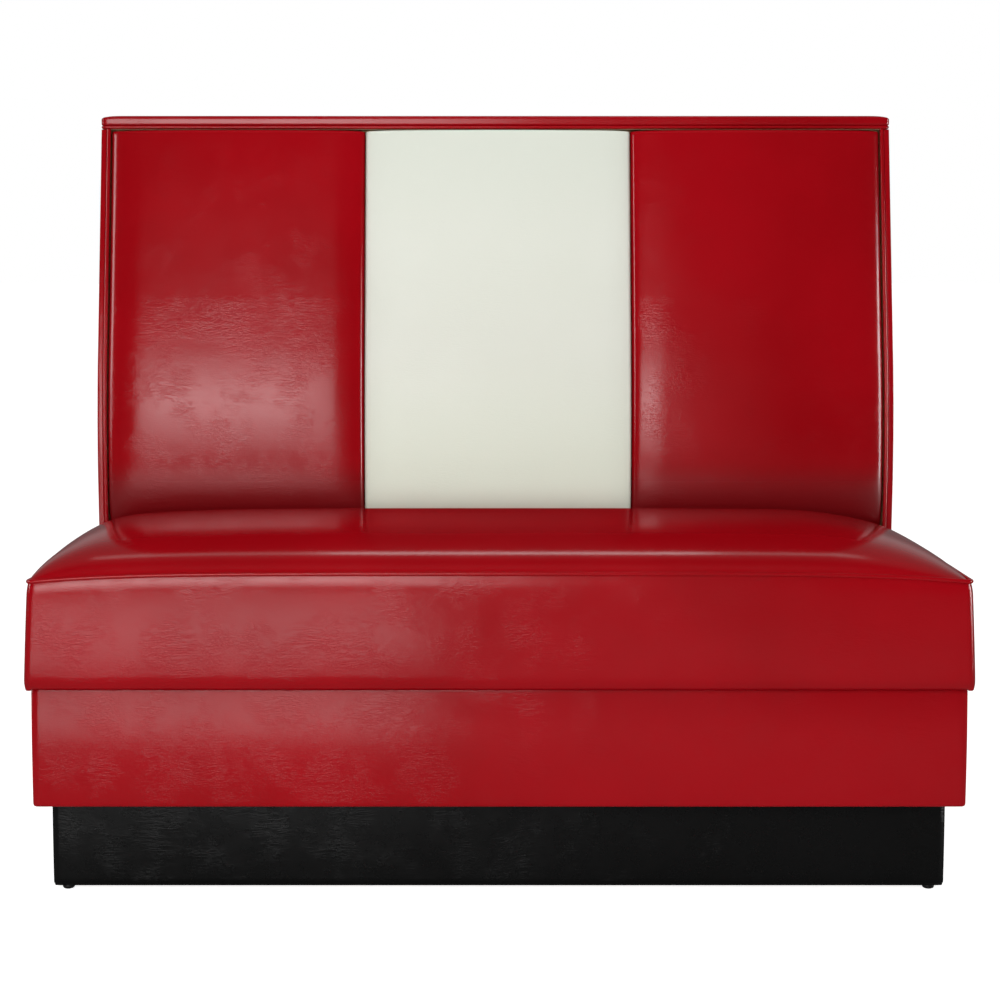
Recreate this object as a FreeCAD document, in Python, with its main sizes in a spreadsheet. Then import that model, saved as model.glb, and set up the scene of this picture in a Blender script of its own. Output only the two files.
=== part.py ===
import FreeCAD, Part
import math
import os
import re

import Sketcher

# Single diner booth seat. X runs along the bench, the front faces -Y and Z is up from the floor.
# The origin is on the floor, in the middle of the width and of the depth.

os.makedirs("parts", exist_ok=True)
doc = FreeCAD.newDocument("booth_seat")
sheet = doc.addObject("Spreadsheet::Sheet", "dims")

# Driving sizes in millimetres, angles in degrees, and shares of one
driving_sizes = {
    "overall_depth": 635,
    "overall_height": 1059,
    "seat_width": 1219,
    "back_depth": 178,
    "seat_gap": 1,
    "seat_rest_gap": 0.3,
    "back_side_setback": 8.5,
    "skirt_side_setback": 4.7,
    "skirt_height": 157,
    "skirt_setback": 12,
    "base_side_setback": 15.5,
    "base_height": 124,
    "base_setback": 73,
    "base_rear_setback": 10,
    "glide_height": 7,
    "glide_radius": 8,
    "glide_flat_radius": 5,
    "glide_dome": 3,
    "glide_inset": 17,
    "glide_setback": 8,
    "nail_radius": 1.2,
    "nail_length": 16,
    "nail_clearance": 0.05,
    "vinyl": 1.5,
    "panel_thick": 11,
    "skirt_board_thick": 12,
    "kick_board_thick": 15,
    "back_panel_thick": 5,
    "rail_thick": 19,
    "rail_height": 60,
    "cleat_size": 38,
    "ledger_width": 50,
    "glue_block": 40,
    "glue_block_height": 100,
    "middle_rail_z": 640,
    "bend_share": 0.2542,
    "bend_radius": 1100,
    "recline": 11.6,
    "strip_width": 7.8,
    "end_welt_radius": 2.2,
    "end_welt_start": 70,
    "welt_clearance": 0.1,
    "channel_board_thick": 6,
    "channel_board_depth": 18,
    "channel_board_drop": 30,
    "channel_bottom": 150,
    "channel_top_gap": 2,
    "channel_side_gap": 1.5,
    "channel_gap": 3,
    "channel_proud": 14,
    "channel_shoulder": 8,
    "channel_edge_depth": 5,
    "channel_end_depth": 11,
    "channel_shoulder_width": 36,
    "channel_end_round": 32,
    "channel_corner_draw": 4,
    "soft_clearance": 0.3,
    "channel_rear_clearance": 0.4,
    "cap_overhang": 2,
    "cap_board_thick": 9,
    "cap_rim_height": 13,
    "cap_crown": 3,
    "cap_crown_run": 60,
    "cap_edge_round": 2.5,
    "cap_welt_radius": 2.4,
    "cap_ring": 7.3,
    "band_height": 146,
    "band_draw": 6.5,
    "seat_corner_radius": 9,
    "seat_welt_radius": 3,
    "crown_wall": 4,
    "crown_rise": 44,
    "crown_run": 280,
    "crown_corner_draw": 4,
    "frame_inset": 8,
    "seat_rail_thick": 22,
    "seat_rail_height": 64,
    "dust_cover_thick": 0.8,
    "locating_block_length": 42,
    "locating_block_width": 30,
    "locating_block_drop": 20,
    "locating_clearance": 2,
    "locating_front_gap": 18,
    "spring_wire_radius": 1.9,
    "spring_pitch": 50,
    "spring_half_width": 29,
    "spring_spacing": 210,
    "clip_plate": 1,
    "clip_width": 14,
    "clip_length": 12,
    "clip_clearance": 0.1,
    "spring_pad_thick": 6,
    "overrun": 5,
}

# Places worked out from the driving sizes
derived_sizes = {
    "seat_depth": "overall_depth - back_depth",
    "back_width": "seat_width - 2 * back_side_setback",
    "skirt_width": "seat_width - 2 * skirt_side_setback",
    "base_width": "seat_width - 2 * base_side_setback",
    "front_y": "-overall_depth / 2",
    "rear_y": "overall_depth / 2",
    "base_bottom_z": "glide_height",
    "box_bottom_z": "glide_height + base_height",
    "box_top_z": "box_bottom_z + skirt_height",
    "cap_welt_bottom_z": "overall_height - cap_crown - cap_rim_height - 2 * cap_welt_radius",
    "frame_top_z": "cap_welt_bottom_z - soft_clearance",
    "seat_rear_y": "front_y + seat_depth",
    "bend_z": "box_top_z + (overall_height - box_top_z) * bend_share",
    "bend_centre_y": "seat_rear_y + seat_gap + bend_radius",
    "panel_outer_x": "back_width / 2 - vinyl",
    "panel_inner_x": "panel_outer_x - panel_thick",
    "skirt_front_y": "front_y + skirt_setback",
    "skirt_board_y": "skirt_front_y + vinyl",
    "arm_front_y": "skirt_board_y + skirt_board_thick",
    "rear_skin_y": "rear_y - vinyl",
    "panel_rear_y": "rear_skin_y - back_panel_thick",
    "rail_front_y": "panel_rear_y - rail_thick",
    "top_rail_z": "frame_top_z - rail_height",
    "middle_rail_top_z": "middle_rail_z + rail_height",
    "cleat_top_z": "box_bottom_z + cleat_size",
    "lumbar_z": "bend_z - rail_height",
    "channel_bottom_z": "box_top_z + channel_bottom",
    "channel_board_bottom_z": "channel_bottom_z - channel_board_drop",
    "channel_top_z": "frame_top_z - channel_top_gap",
    "channel_width": "(2 * panel_inner_x - 2 * channel_side_gap - 2 * channel_gap) / 3",
    "seat_base_z": "box_top_z + seat_rest_gap",
    "seat_rail_z": "seat_base_z + dust_cover_thick",
    "seat_rail_top_z": "seat_rail_z + seat_rail_height",
    "seat_frame_x": "seat_width / 2 - frame_inset",
    "seat_frame_front_y": "front_y + frame_inset",
    "seat_frame_rear_y": "seat_rear_y - frame_inset",
    "spring_z": "seat_rail_top_z + clip_plate + spring_wire_radius",
    "spring_pad_z": "spring_z + spring_wire_radius + clip_plate + soft_clearance",
    "cavity_top_z": "spring_pad_z + spring_pad_thick + soft_clearance",
    "base_front_y": "front_y + base_setback",
    "base_rear_y": "rear_y - base_rear_setback",
    "base_board_x": "base_width / 2 - vinyl",
    "base_board_front_y": "base_front_y + vinyl",
    "base_board_rear_y": "base_rear_y - vinyl",
    "nail_tip_z": "glide_height + nail_length",
    "cap_bottom_z": "frame_top_z",
    "cap_rim_z": "cap_welt_bottom_z + 2 * cap_welt_radius",
}

# Lines of the back at a depth behind the face of the end strips: foot, bend and head
profile_depths = {
    "strip": "0 * vinyl",
    "panel": "vinyl",
    "board": "channel_board_depth",
    "rib": "channel_board_depth + channel_board_thick",
}
profile_formulas = {
    "radius": "bend_radius - {depth}",
    "foot_y": "bend_centre_y - {name}_radius",
    "bend_y": "bend_centre_y - {name}_radius * cos(recline)",
    "bend_z": "bend_z + {name}_radius * sin(recline)",
    "head_y": "{name}_bend_y + (frame_top_z - {name}_bend_z) * tan(recline)",
    "channel_head_y": "{name}_bend_y + (channel_top_z - {name}_bend_z) * tan(recline)",
}
for profile_name, profile_depth in profile_depths.items():
    for suffix, formula in profile_formulas.items():
        text = formula.format(name=profile_name, depth=f"({profile_depth})")
        derived_sizes[f"{profile_name}_{suffix}"] = text

cells = {**driving_sizes, **{name: f"={formula}" for name, formula in derived_sizes.items()}}
for row, (name, content) in enumerate(cells.items(), start=1):
    sheet.set(f"A{row}", name)
    sheet.set(f"B{row}", str(content))
    sheet.setAlias(f"B{row}", name)
doc.recompute()

nodes = []


def size(name):
    return float(sheet.get(name))


def bind(formula):
    return re.sub(r"[a-z_]+", lambda word: f"dims.{word[0]}" if word[0] in cells else word[0], formula)


def keep(piece, label):
    piece.Label = label
    nodes.append(piece)
    return piece


# Straight timber: a box between six bound places
def box(name, left, right, front, rear, bottom, top):
    timber = doc.addObject("Part::Box", name)
    timber.setExpression("Length", bind(f"({right}) - ({left})"))
    timber.setExpression("Width", bind(f"({rear}) - ({front})"))
    timber.setExpression("Height", bind(f"({top}) - ({bottom})"))
    timber.setExpression("Placement.Base.x", bind(left))
    timber.setExpression("Placement.Base.y", bind(front))
    timber.setExpression("Placement.Base.z", bind(bottom))
    return timber


def cut(name, base, tool):
    result = doc.addObject("Part::Cut", name)
    result.Base = base
    result.Tool = tool
    return result


def group(name, members):
    result = doc.addObject("Part::Compound", name)
    result.Links = members
    return result


def peg(name, radius, height, x, y, z):
    drill = doc.addObject("Part::Cylinder", name)
    drill.setExpression("Radius", bind(radius))
    drill.setExpression("Height", bind(height))
    drill.setExpression("Placement.Base.x", bind(x))
    drill.setExpression("Placement.Base.y", bind(y))
    drill.setExpression("Placement.Base.z", bind(z))
    return drill


# A closed sketch through bound corners; bends maps the corner where an arc starts to its radius
def outline(body, name, role, corners, bends=None):
    bends = bends or {}
    sketch = body.newObject("Sketcher::SketchObject", name)
    plane = [feature for feature in body.Origin.OriginFeatures if feature.Role == role][0]
    sketch.AttachmentSupport = [(plane, "")]
    sketch.MapMode = "FlatFace"
    points = [FreeCAD.Vector(value(u), value(v), 0) for u, v in corners]
    count = len(points)
    ends = []
    for index, start in enumerate(points):
        finish = points[(index + 1) % count]
        if index not in bends:
            geometry = sketch.addGeometry(Part.LineSegment(start, finish))
            ends.append((geometry, 1, 2))
            continue
        radius, centre_u, centre_v = bends[index]
        centre = FreeCAD.Vector(value(centre_u), value(centre_v), 0)
        middle = (start + finish) / 2 - centre
        middle.normalize()
        geometry = sketch.addGeometry(Part.Arc(start, centre + middle * value(radius), finish))
        forward = sketch.getPoint(geometry, 1).distanceToPoint(start) < value("vinyl")
        ends.append((geometry, 1, 2) if forward else (geometry, 2, 1))
    for index, (geometry, first, last) in enumerate(ends):
        following, following_first, following_last = ends[(index + 1) % count]
        sketch.addConstraint(Sketcher.Constraint("Coincident", geometry, last, following, following_first))
    for index, (geometry, first, last) in enumerate(ends):
        for kind, axis, formula in zip(("DistanceX", "DistanceY"), (-2, -1), corners[index]):
            if formula == "0":
                sketch.addConstraint(Sketcher.Constraint("PointOnObject", geometry, first, axis))
                continue
            place = sketch.addConstraint(Sketcher.Constraint(kind, -1, 1, geometry, first, value(formula)))
            sketch.setExpression(f"Constraints[{place}]", bind(formula))
        if index in bends:
            radius = bends[index][0]
            place = sketch.addConstraint(Sketcher.Constraint("Radius", geometry, value(radius)))
            sketch.setExpression(f"Constraints[{place}]", bind(radius))
    return sketch


# A sum or difference of named sizes, as a number, to start a sketch close to its place
def value(formula):
    total = 0.0
    for sign, name in re.findall(r"([-+]?)\s*([a-z_]+)", formula):
        total += -size(name) if sign == "-" else size(name)
    return total


def pad(body, name, sketch, length):
    feature = body.newObject("PartDesign::Pad", name)
    feature.Profile = sketch
    feature.setExpression("Length", bind(length))
    body.Tip = feature
    return feature


def place_x(piece, formula):
    piece.setExpression("Placement.Base.x", bind(formula))


sides = (("left", "-"), ("right", ""))


# The span in X from an inner to an outer distance, on the left or the right side
def side_span(sign, inner, outer):
    return (f"-({outer})", f"-({inner})") if sign else (inner, outer)


# Plywood end panels, with the arm of the seat box and the line of the back
def end_panel(side, sign):
    body = doc.addObject("PartDesign::Body", f"{side}_end_panel")
    corners = [
        ("arm_front_y", "box_bottom_z"),
        ("arm_front_y", "box_top_z"),
        ("panel_foot_y", "box_top_z"),
        ("panel_foot_y", "bend_z"),
        ("panel_bend_y", "panel_bend_z"),
        ("panel_head_y", "frame_top_z"),
        ("panel_rear_y", "frame_top_z"),
        ("panel_rear_y", "box_bottom_z"),
    ]
    bends = {3: ("panel_radius", "bend_centre_y", "bend_z")}
    sketch = outline(body, f"{side}_end_panel_line", "YZ_Plane", corners, bends)
    pad(body, f"{side}_end_panel_pad", sketch, "panel_thick")
    place_x(body, side_span(sign, "panel_inner_x", "panel_outer_x")[0])
    keep(body, f"{side}_end_panel")


# Vinyl on the outside of each end panel, wrapped round the front edge of the back
def end_cover(side, sign):
    body = doc.addObject("PartDesign::Body", f"{side}_end_cover")
    skin = [
        ("arm_front_y", "box_bottom_z"),
        ("arm_front_y", "box_top_z"),
        ("strip_foot_y", "box_top_z"),
        ("strip_foot_y", "bend_z"),
        ("strip_bend_y", "strip_bend_z"),
        ("strip_head_y", "frame_top_z"),
        ("rear_skin_y", "frame_top_z"),
        ("rear_skin_y", "box_bottom_z"),
    ]
    bends = {3: ("strip_radius", "bend_centre_y", "bend_z")}
    sketch = outline(body, f"{side}_end_cover_line", "YZ_Plane", skin, bends)
    pad(body, f"{side}_end_cover_pad", sketch, "strip_width")
    hollow = [
        ("arm_front_y - overrun", "box_bottom_z - overrun"),
        ("arm_front_y - overrun", "box_top_z + overrun"),
        ("panel_foot_y", "box_top_z + overrun"),
        ("panel_foot_y", "bend_z"),
        ("panel_bend_y", "panel_bend_z"),
        ("panel_head_y", "frame_top_z"),
        ("panel_head_y", "frame_top_z + overrun"),
        ("rear_y + overrun", "frame_top_z + overrun"),
        ("rear_y + overrun", "box_bottom_z - overrun"),
    ]
    bends = {3: ("panel_radius", "bend_centre_y", "bend_z")}
    inside = outline(body, f"{side}_end_cover_inside", "YZ_Plane", hollow, bends)
    if not sign:
        pocket_depth = "strip_width - vinyl"
    else:
        pocket_depth = "strip_width"
        inside.setExpression("AttachmentOffset.Base.z", bind("vinyl"))
    pocket = body.newObject("PartDesign::Pocket", f"{side}_end_cover_pocket")
    pocket.Profile = inside
    pocket.Reversed = True
    pocket.setExpression("Length", bind(pocket_depth))
    body.Tip = pocket
    place_x(body, side_span(sign, "panel_outer_x + vinyl - strip_width", "panel_outer_x + vinyl")[0])
    keep(body, f"{side}_end_cover")


# Ribs behind the channels, notched for the lumbar rail and the back rails
def back_ribs():
    corners = [
        ("rib_foot_y", "cleat_top_z"),
        ("rib_foot_y", "lumbar_z"),
        ("rib_foot_y + rail_thick", "lumbar_z"),
        ("rib_foot_y + rail_thick", "bend_z"),
        ("rib_foot_y", "bend_z"),
        ("rib_bend_y", "rib_bend_z"),
        ("rib_head_y", "frame_top_z"),
        ("rail_front_y", "frame_top_z"),
        ("rail_front_y", "top_rail_z"),
        ("panel_rear_y", "top_rail_z"),
        ("panel_rear_y", "middle_rail_top_z"),
        ("rail_front_y", "middle_rail_top_z"),
        ("rail_front_y", "middle_rail_z"),
        ("panel_rear_y", "middle_rail_z"),
        ("panel_rear_y", "cleat_top_z"),
    ]
    places = {
        "left_end_rib": "-panel_inner_x",
        "left_seam_rib": "-(channel_width + channel_gap + rail_thick) / 2",
        "right_seam_rib": "(channel_width + channel_gap - rail_thick) / 2",
        "right_end_rib": "panel_inner_x - rail_thick",
    }
    for label, place in places.items():
        body = doc.addObject("PartDesign::Body", label)
        bends = {4: ("rib_radius", "bend_centre_y", "bend_z")}
        sketch = outline(body, f"{label}_line", "YZ_Plane", corners, bends)
        pad(body, f"{label}_pad", sketch, "rail_thick")
        place_x(body, place)
        keep(body, label)


# Rails, cleats and boards of the box and the back
def frame_timber():
    full = ("-panel_inner_x", "panel_inner_x")
    timbers = {
        "top_back_rail": (*full, "rail_front_y", "panel_rear_y", "top_rail_z", "frame_top_z"),
        "middle_back_rail": (*full, "rail_front_y", "panel_rear_y", "middle_rail_z", "middle_rail_top_z"),
        "bottom_rear_rail": (
            *full, "panel_rear_y - cleat_size", "panel_rear_y", "box_bottom_z", "cleat_top_z",
        ),
        "lumbar_rail": (*full, "rib_foot_y", "rib_foot_y + rail_thick", "lumbar_z", "bend_z"),
        "seat_ledger": (*full, "rib_foot_y - ledger_width", "rib_foot_y", "box_top_z - cleat_size", "box_top_z"),
        "front_seat_rail": (
            *full, "arm_front_y", "arm_front_y + rail_thick", "box_top_z - rail_height", "box_top_z",
        ),
        "bottom_front_rail": (
            "cleat_size - panel_inner_x", "panel_inner_x - cleat_size",
            "base_board_front_y", "base_board_front_y + cleat_size", "box_bottom_z", "cleat_top_z",
        ),
        "skirt_board": (
            "vinyl - skirt_width / 2", "skirt_width / 2 - vinyl",
            "skirt_board_y", "arm_front_y", "box_bottom_z + vinyl", "box_top_z",
        ),
        "outside_back_panel": (
            "-panel_outer_x", "panel_outer_x", "panel_rear_y", "rear_skin_y", "box_bottom_z", "frame_top_z",
        ),
        "outside_back_cover": (
            "-back_width / 2", "back_width / 2", "rear_skin_y", "rear_y", "box_bottom_z", "frame_top_z",
        ),
    }
    for label, places in timbers.items():
        keep(box(label, *places), label)
    for side, sign in sides:
        span = side_span(sign, "panel_inner_x - cleat_size", "panel_inner_x")
        label = f"{side}_bottom_cleat"
        rear = "panel_rear_y - cleat_size"
        keep(box(label, *span, "arm_front_y", rear, "box_bottom_z", "cleat_top_z"), label)


# Vinyl round the front, the ends and the lower edge of the skirt board
def skirt_cover():
    half = "skirt_width / 2"
    wrap = box("skirt_wrap", f"-{half}", half, "skirt_front_y", "arm_front_y", "box_bottom_z", "box_top_z")
    hollow = box(
        "skirt_hollow", f"vinyl - {half}", f"{half} - vinyl", "skirt_board_y", "arm_front_y + overrun",
        "box_bottom_z + vinyl", "box_top_z + overrun",
    )
    keep(cut("skirt_cover", wrap, hollow), "skirt_cover")


glide_x = "base_width / 2 - glide_inset"
glide_rows = {
    "front": "base_board_front_y + glide_setback",
    "rear": "base_board_rear_y - glide_setback",
}


# Toe-kick base: four boards, glue blocks in the corners and black vinyl round the outside
def base():
    board = "kick_board_thick"
    inner_x = f"base_board_x - {board}"
    levels = ("base_bottom_z", "box_bottom_z")
    runs = {
        "front": ("base_board_front_y", f"base_board_front_y + {board}"),
        "rear": (f"base_board_rear_y - {board}", "base_board_rear_y"),
    }
    for row, run in runs.items():
        blank = box(f"kick_{row}_blank", "-base_board_x", "base_board_x", *run, *levels)
        holes = group(f"kick_{row}_holes", [
            peg(
                f"kick_{row}_{side}_hole", "nail_radius + nail_clearance", "nail_length + nail_clearance",
                f"{sign}({glide_x})", glide_rows[row], "base_bottom_z",
            )
            for side, sign in sides
        ])
        keep(cut(f"toe_kick_{row}", blank, holes), f"toe_kick_{row}")
    for side, sign in sides:
        span = side_span(sign, inner_x, "base_board_x")
        label = f"toe_kick_{side}"
        keep(box(label, *span, runs["front"][1], runs["rear"][0], *levels), label)
    blocks = []
    for side, sign in sides:
        span = side_span(sign, f"{inner_x} - glue_block", inner_x)
        depths = {
            "front": (runs["front"][1], f"{runs['front'][1]} + glue_block"),
            "rear": (f"{runs['rear'][0]} - glue_block", runs["rear"][0]),
        }
        for row, run in depths.items():
            low = "box_bottom_z - glue_block_height"
            blocks.append(box(f"kick_block_{side}_{row}", *span, *run, low, "box_bottom_z"))
    keep(group("toe_kick_blocks", blocks), "toe_kick_blocks")
    wrap = box("kick_wrap", "-base_width / 2", "base_width / 2", "base_front_y", "base_rear_y", *levels)
    hollow = box(
        "kick_hollow", "-base_board_x", "base_board_x", "base_board_front_y", "base_board_rear_y",
        "base_bottom_z - overrun", "box_bottom_z + overrun",
    )
    keep(cut("toe_kick_cover", wrap, hollow), "toe_kick_cover")


# Nail-on glides: a dome with a small flat, and a nail that goes up into the base
def glides():
    corners = [
        ("0", "0"),
        ("glide_flat_radius", "0"),
        ("glide_radius", "glide_dome"),
        ("glide_radius", "glide_height"),
        ("nail_radius", "glide_height"),
        ("nail_radius", "nail_tip_z"),
        ("0", "nail_tip_z"),
    ]
    turned = []
    for side, sign in sides:
        for row, place in glide_rows.items():
            body = doc.addObject("PartDesign::Body", f"glide_{side}_{row}")
            sketch = outline(body, f"glide_{side}_{row}_line", "XZ_Plane", corners)
            turn = body.newObject("PartDesign::Revolution", f"glide_{side}_{row}_turn")
            turn.Profile = sketch
            turn.ReferenceAxis = (sketch, ["V_Axis"])
            body.Tip = turn
            place_x(body, f"{sign}({glide_x})")
            body.setExpression("Placement.Base.y", bind(place))
            turned.append(body)
    keep(group("glides", turned), "glides")


def feature(shape, label):
    piece = doc.addObject("Part::Feature", label)
    piece.Shape = shape
    return keep(piece, label)


# A cord of many flats along a chain of straight runs and arcs that lie in one plane
def piping(edges, radius, plane_normal):
    turns = [math.radians(360 * index / cord_facets) for index in range(cord_facets + 1)]
    pieces = []
    for edge in edges:
        start = edge.valueAt(edge.FirstParameter)
        along = edge.tangentAt(edge.FirstParameter)
        across = along.cross(plane_normal)
        rim = [
            start + across * (radius * math.cos(turn)) + plane_normal * (radius * math.sin(turn))
            for turn in turns
        ]
        section = Part.Face(Part.makePolygon(rim))
        if edge.Curve.TypeId == "Part::GeomLine":
            pieces.append(section.extrude(edge.valueAt(edge.LastParameter) - start))
            continue
        centre = edge.Curve.Center
        hinge = (start - centre).cross(along)
        pieces.append(section.revolve(centre, hinge, math.degrees(edge.Length / edge.Curve.Radius)))
    return pieces[0].multiFuse(pieces[1:]).removeSplitter()


cord_facets = 8


# The welt that runs down the inner corner of each end strip
def end_welts():
    radius = size("end_welt_radius")
    depth = size("vinyl") - radius
    bend = size("bend_radius") - depth
    tilt = math.radians(size("recline"))
    centre_y = size("bend_centre_y")
    foot = FreeCAD.Vector(0, centre_y - bend, size("box_top_z") + size("end_welt_start"))
    low = FreeCAD.Vector(0, centre_y - bend, size("bend_z"))
    half = tilt / 2
    middle = FreeCAD.Vector(0, centre_y - bend * math.cos(half), size("bend_z") + bend * math.sin(half))
    high = FreeCAD.Vector(0, centre_y - bend * math.cos(tilt), size("bend_z") + bend * math.sin(tilt))
    rise = size("frame_top_z") - radius * math.sin(tilt) - high.z
    head = high + FreeCAD.Vector(0, rise * math.tan(tilt), rise)
    edges = [
        Part.LineSegment(foot, low).toShape(),
        Part.Arc(low, middle, high).toShape(),
        Part.LineSegment(high, head).toShape(),
    ]
    cord = piping(edges, radius, FreeCAD.Vector(1, 0, 0))
    place = size("panel_inner_x") + radius + size("welt_clearance")
    for side, sign in sides:
        shift = -place if sign else place
        feature(cord.translated(FreeCAD.Vector(shift, 0, 0)), f"{side}_end_welt")


# Bent plywood behind each channel
channel_places = {
    "left": "-channel_width * 3 / 2 - channel_gap",
    "centre": "-channel_width / 2",
    "right": "channel_width / 2 + channel_gap",
}


def channel_boards():
    corners = [
        ("board_foot_y", "channel_board_bottom_z"),
        ("board_foot_y", "bend_z"),
        ("board_bend_y", "board_bend_z"),
        ("board_channel_head_y", "channel_top_z"),
        ("rib_channel_head_y", "channel_top_z"),
        ("rib_bend_y", "rib_bend_z"),
        ("rib_foot_y", "bend_z"),
        ("rib_foot_y", "channel_board_bottom_z"),
    ]
    bends = {
        1: ("board_radius", "bend_centre_y", "bend_z"),
        5: ("rib_radius", "bend_centre_y", "bend_z"),
    }
    for side, place in channel_places.items():
        label = f"{side}_channel_board"
        body = doc.addObject("PartDesign::Body", label)
        sketch = outline(body, f"{label}_line", "YZ_Plane", corners, bends)
        pad(body, f"{label}_pad", sketch, "channel_width")
        place_x(body, place)
        keep(body, label)


# A place on the line of the back, a length above the foot of the channels, and the tilt there
def back_station(length):
    upright = size("bend_z") - size("channel_bottom_z")
    radius = size("bend_radius")
    tilt = math.radians(size("recline"))
    foot_y = size("strip_foot_y")
    if length <= upright:
        return FreeCAD.Vector(0, foot_y, size("channel_bottom_z") + length), 0.0
    turned = (length - upright) / radius
    angle = min(turned, tilt)
    y = size("bend_centre_y") - radius * math.cos(angle)
    z = size("bend_z") + radius * math.sin(angle)
    beyond = length - upright - radius * angle
    return FreeCAD.Vector(0, y + beyond * math.sin(angle), z + beyond * math.cos(angle)), angle


# How far the ends of a cushion have swelled, and how far their corners draw in, from the end inward
end_place_shares = (0.0, 0.12, 0.4, 1.0)
end_swell_shares = (0.08, 0.5, 0.82, 1.0)
end_draw_shares = (1.0, 0.4, 0.08, 0.0)
bend_station_shares = (0.0, 0.25, 0.5, 0.75, 1.0)
knee_share = 0.72


# The padded form of one channel: crowned across, rolled over at its sides and ends
def channel_form(inset, run_back):
    tilt = math.radians(size("recline"))
    upright = size("bend_z") - size("channel_bottom_z")
    bend = size("bend_radius") * tilt
    slope = (size("channel_top_z") - size("strip_bend_z")) / math.cos(tilt)
    lead = size("channel_proud") * math.tan(tilt)
    total = upright + bend + slope - lead
    ends = size("channel_end_round")
    stations = []
    for place, swell, draw in zip(end_place_shares, end_swell_shares, end_draw_shares):
        stations.append((inset + place * ends, swell, draw))
        stations.append((total - inset - place * ends, swell, draw))
    for share in bend_station_shares:
        stations.append((upright + bend * share, 1.0, 0.0))
    stations.sort()
    sections = [channel_section(*station, inset, run_back) for station in stations]
    return Part.makeLoft(sections, True, True)


def channel_section(length, swell, draw, inset, run_back):
    base, tilt = back_station(length)
    outward = FreeCAD.Vector(0, -math.cos(tilt), math.sin(tilt))
    half = size("channel_width") / 2 - inset - draw * size("channel_corner_draw")
    shoulder_x = half - size("channel_shoulder_width")
    low = -size("channel_end_depth")
    edge = low + (size("channel_end_depth") - size("channel_edge_depth")) * swell
    shoulder = low + (size("channel_shoulder") - low) * swell - inset
    crown = low + (size("channel_proud") - low) * swell - inset
    knee_x = shoulder_x + size("channel_shoulder_width") * knee_share
    knee = edge + (shoulder - edge) * knee_share
    rear = size("channel_rear_clearance") - size("channel_board_depth") - run_back

    def at(x, depth):
        return base + outward * depth + FreeCAD.Vector(x, 0, 0)

    edges = [
        Part.LineSegment(at(-half, rear), at(-half, edge)),
        Part.Arc(at(-half, edge), at(-knee_x, knee), at(-shoulder_x, shoulder)),
        Part.Arc(at(-shoulder_x, shoulder), at(0, crown), at(shoulder_x, shoulder)),
        Part.Arc(at(shoulder_x, shoulder), at(knee_x, knee), at(half, edge)),
        Part.LineSegment(at(half, edge), at(half, rear)),
        Part.LineSegment(at(half, rear), at(-half, rear)),
    ]
    return Part.Wire([edge_line.toShape() for edge_line in edges])


# Foam and vinyl of the three channels
def channel_pads():
    vinyl = size("vinyl")
    clear = size("soft_clearance")
    outer = channel_form(0, 0)
    inner = channel_form(vinyl, size("overrun"))
    cover = outer.cut(inner)
    foam = channel_form(vinyl + clear, 0)
    for side, place in (("left", -1), ("centre", 0), ("right", 1)):
        shift = FreeCAD.Vector(place * (size("channel_width") + size("channel_gap")), 0, 0)
        feature(foam.translated(shift), f"{side}_channel_foam")
        feature(cover.translated(shift), f"{side}_channel_cover")


# The crown of the cap at its ends and inside them
cap_crown_shares = (0.1, 1.0, 1.0, 0.1)


# Cap board, padded cap with its crown, and the welt under the rim
def cap():
    front = "strip_head_y - cap_overhang"
    keep(
        box(
            "cap_board", "cap_ring - back_width / 2", "back_width / 2 - cap_ring", f"{front} + cap_ring",
            "rear_y - cap_ring", "cap_bottom_z", "cap_bottom_z + cap_board_thick",
        ),
        "cap_board",
    )
    half = size("back_width") / 2
    front_y = size("strip_head_y") - size("cap_overhang")
    rear_y = size("rear_y")
    bottom = size("cap_rim_z")
    top = size("overall_height") - size("cap_crown")
    rounding = size("cap_edge_round")
    run = size("cap_crown_run")
    sections = []
    for x, share in zip((-half, run - half, half - run, half), cap_crown_shares):
        sections.append(cap_section(x, front_y, rear_y, bottom, top, rounding, size("cap_crown") * share))
    pad_form = Part.makeLoft(sections, True, True)
    gap = size("welt_clearance")
    ring_width = size("cap_ring") - gap
    pocket = Part.makeBox(
        2 * (half - ring_width), rear_y - front_y - 2 * ring_width,
        size("cap_bottom_z") + size("cap_board_thick") + gap - bottom + size("overrun"),
        FreeCAD.Vector(ring_width - half, front_y + ring_width, bottom - size("overrun")),
    )
    feature(pad_form.cut(pocket), "cap_pad")
    radius = size("cap_welt_radius")
    loop = rounded_loop(
        half - radius, front_y + radius, rear_y - radius, radius * 2, size("cap_welt_bottom_z") + radius,
    )
    feature(piping(loop, radius, FreeCAD.Vector(0, 0, 1)), "cap_welt")


def cap_section(x, front_y, rear_y, bottom, top, rounding, crown):
    def at(y, z):
        return FreeCAD.Vector(x, y, z)

    inner = rounding * (1 - math.sqrt(0.5))
    edges = [
        Part.LineSegment(at(front_y, bottom), at(front_y, top - rounding)),
        Part.Arc(at(front_y, top - rounding), at(front_y + inner, top - inner), at(front_y + rounding, top)),
        Part.Arc(
            at(front_y + rounding, top), at((front_y + rear_y) / 2, top + crown), at(rear_y - rounding, top),
        ),
        Part.Arc(at(rear_y - rounding, top), at(rear_y - inner, top - inner), at(rear_y, top - rounding)),
        Part.LineSegment(at(rear_y, top - rounding), at(rear_y, bottom)),
        Part.LineSegment(at(rear_y, bottom), at(front_y, bottom)),
    ]
    return Part.Wire([edge.toShape() for edge in edges])


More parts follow.
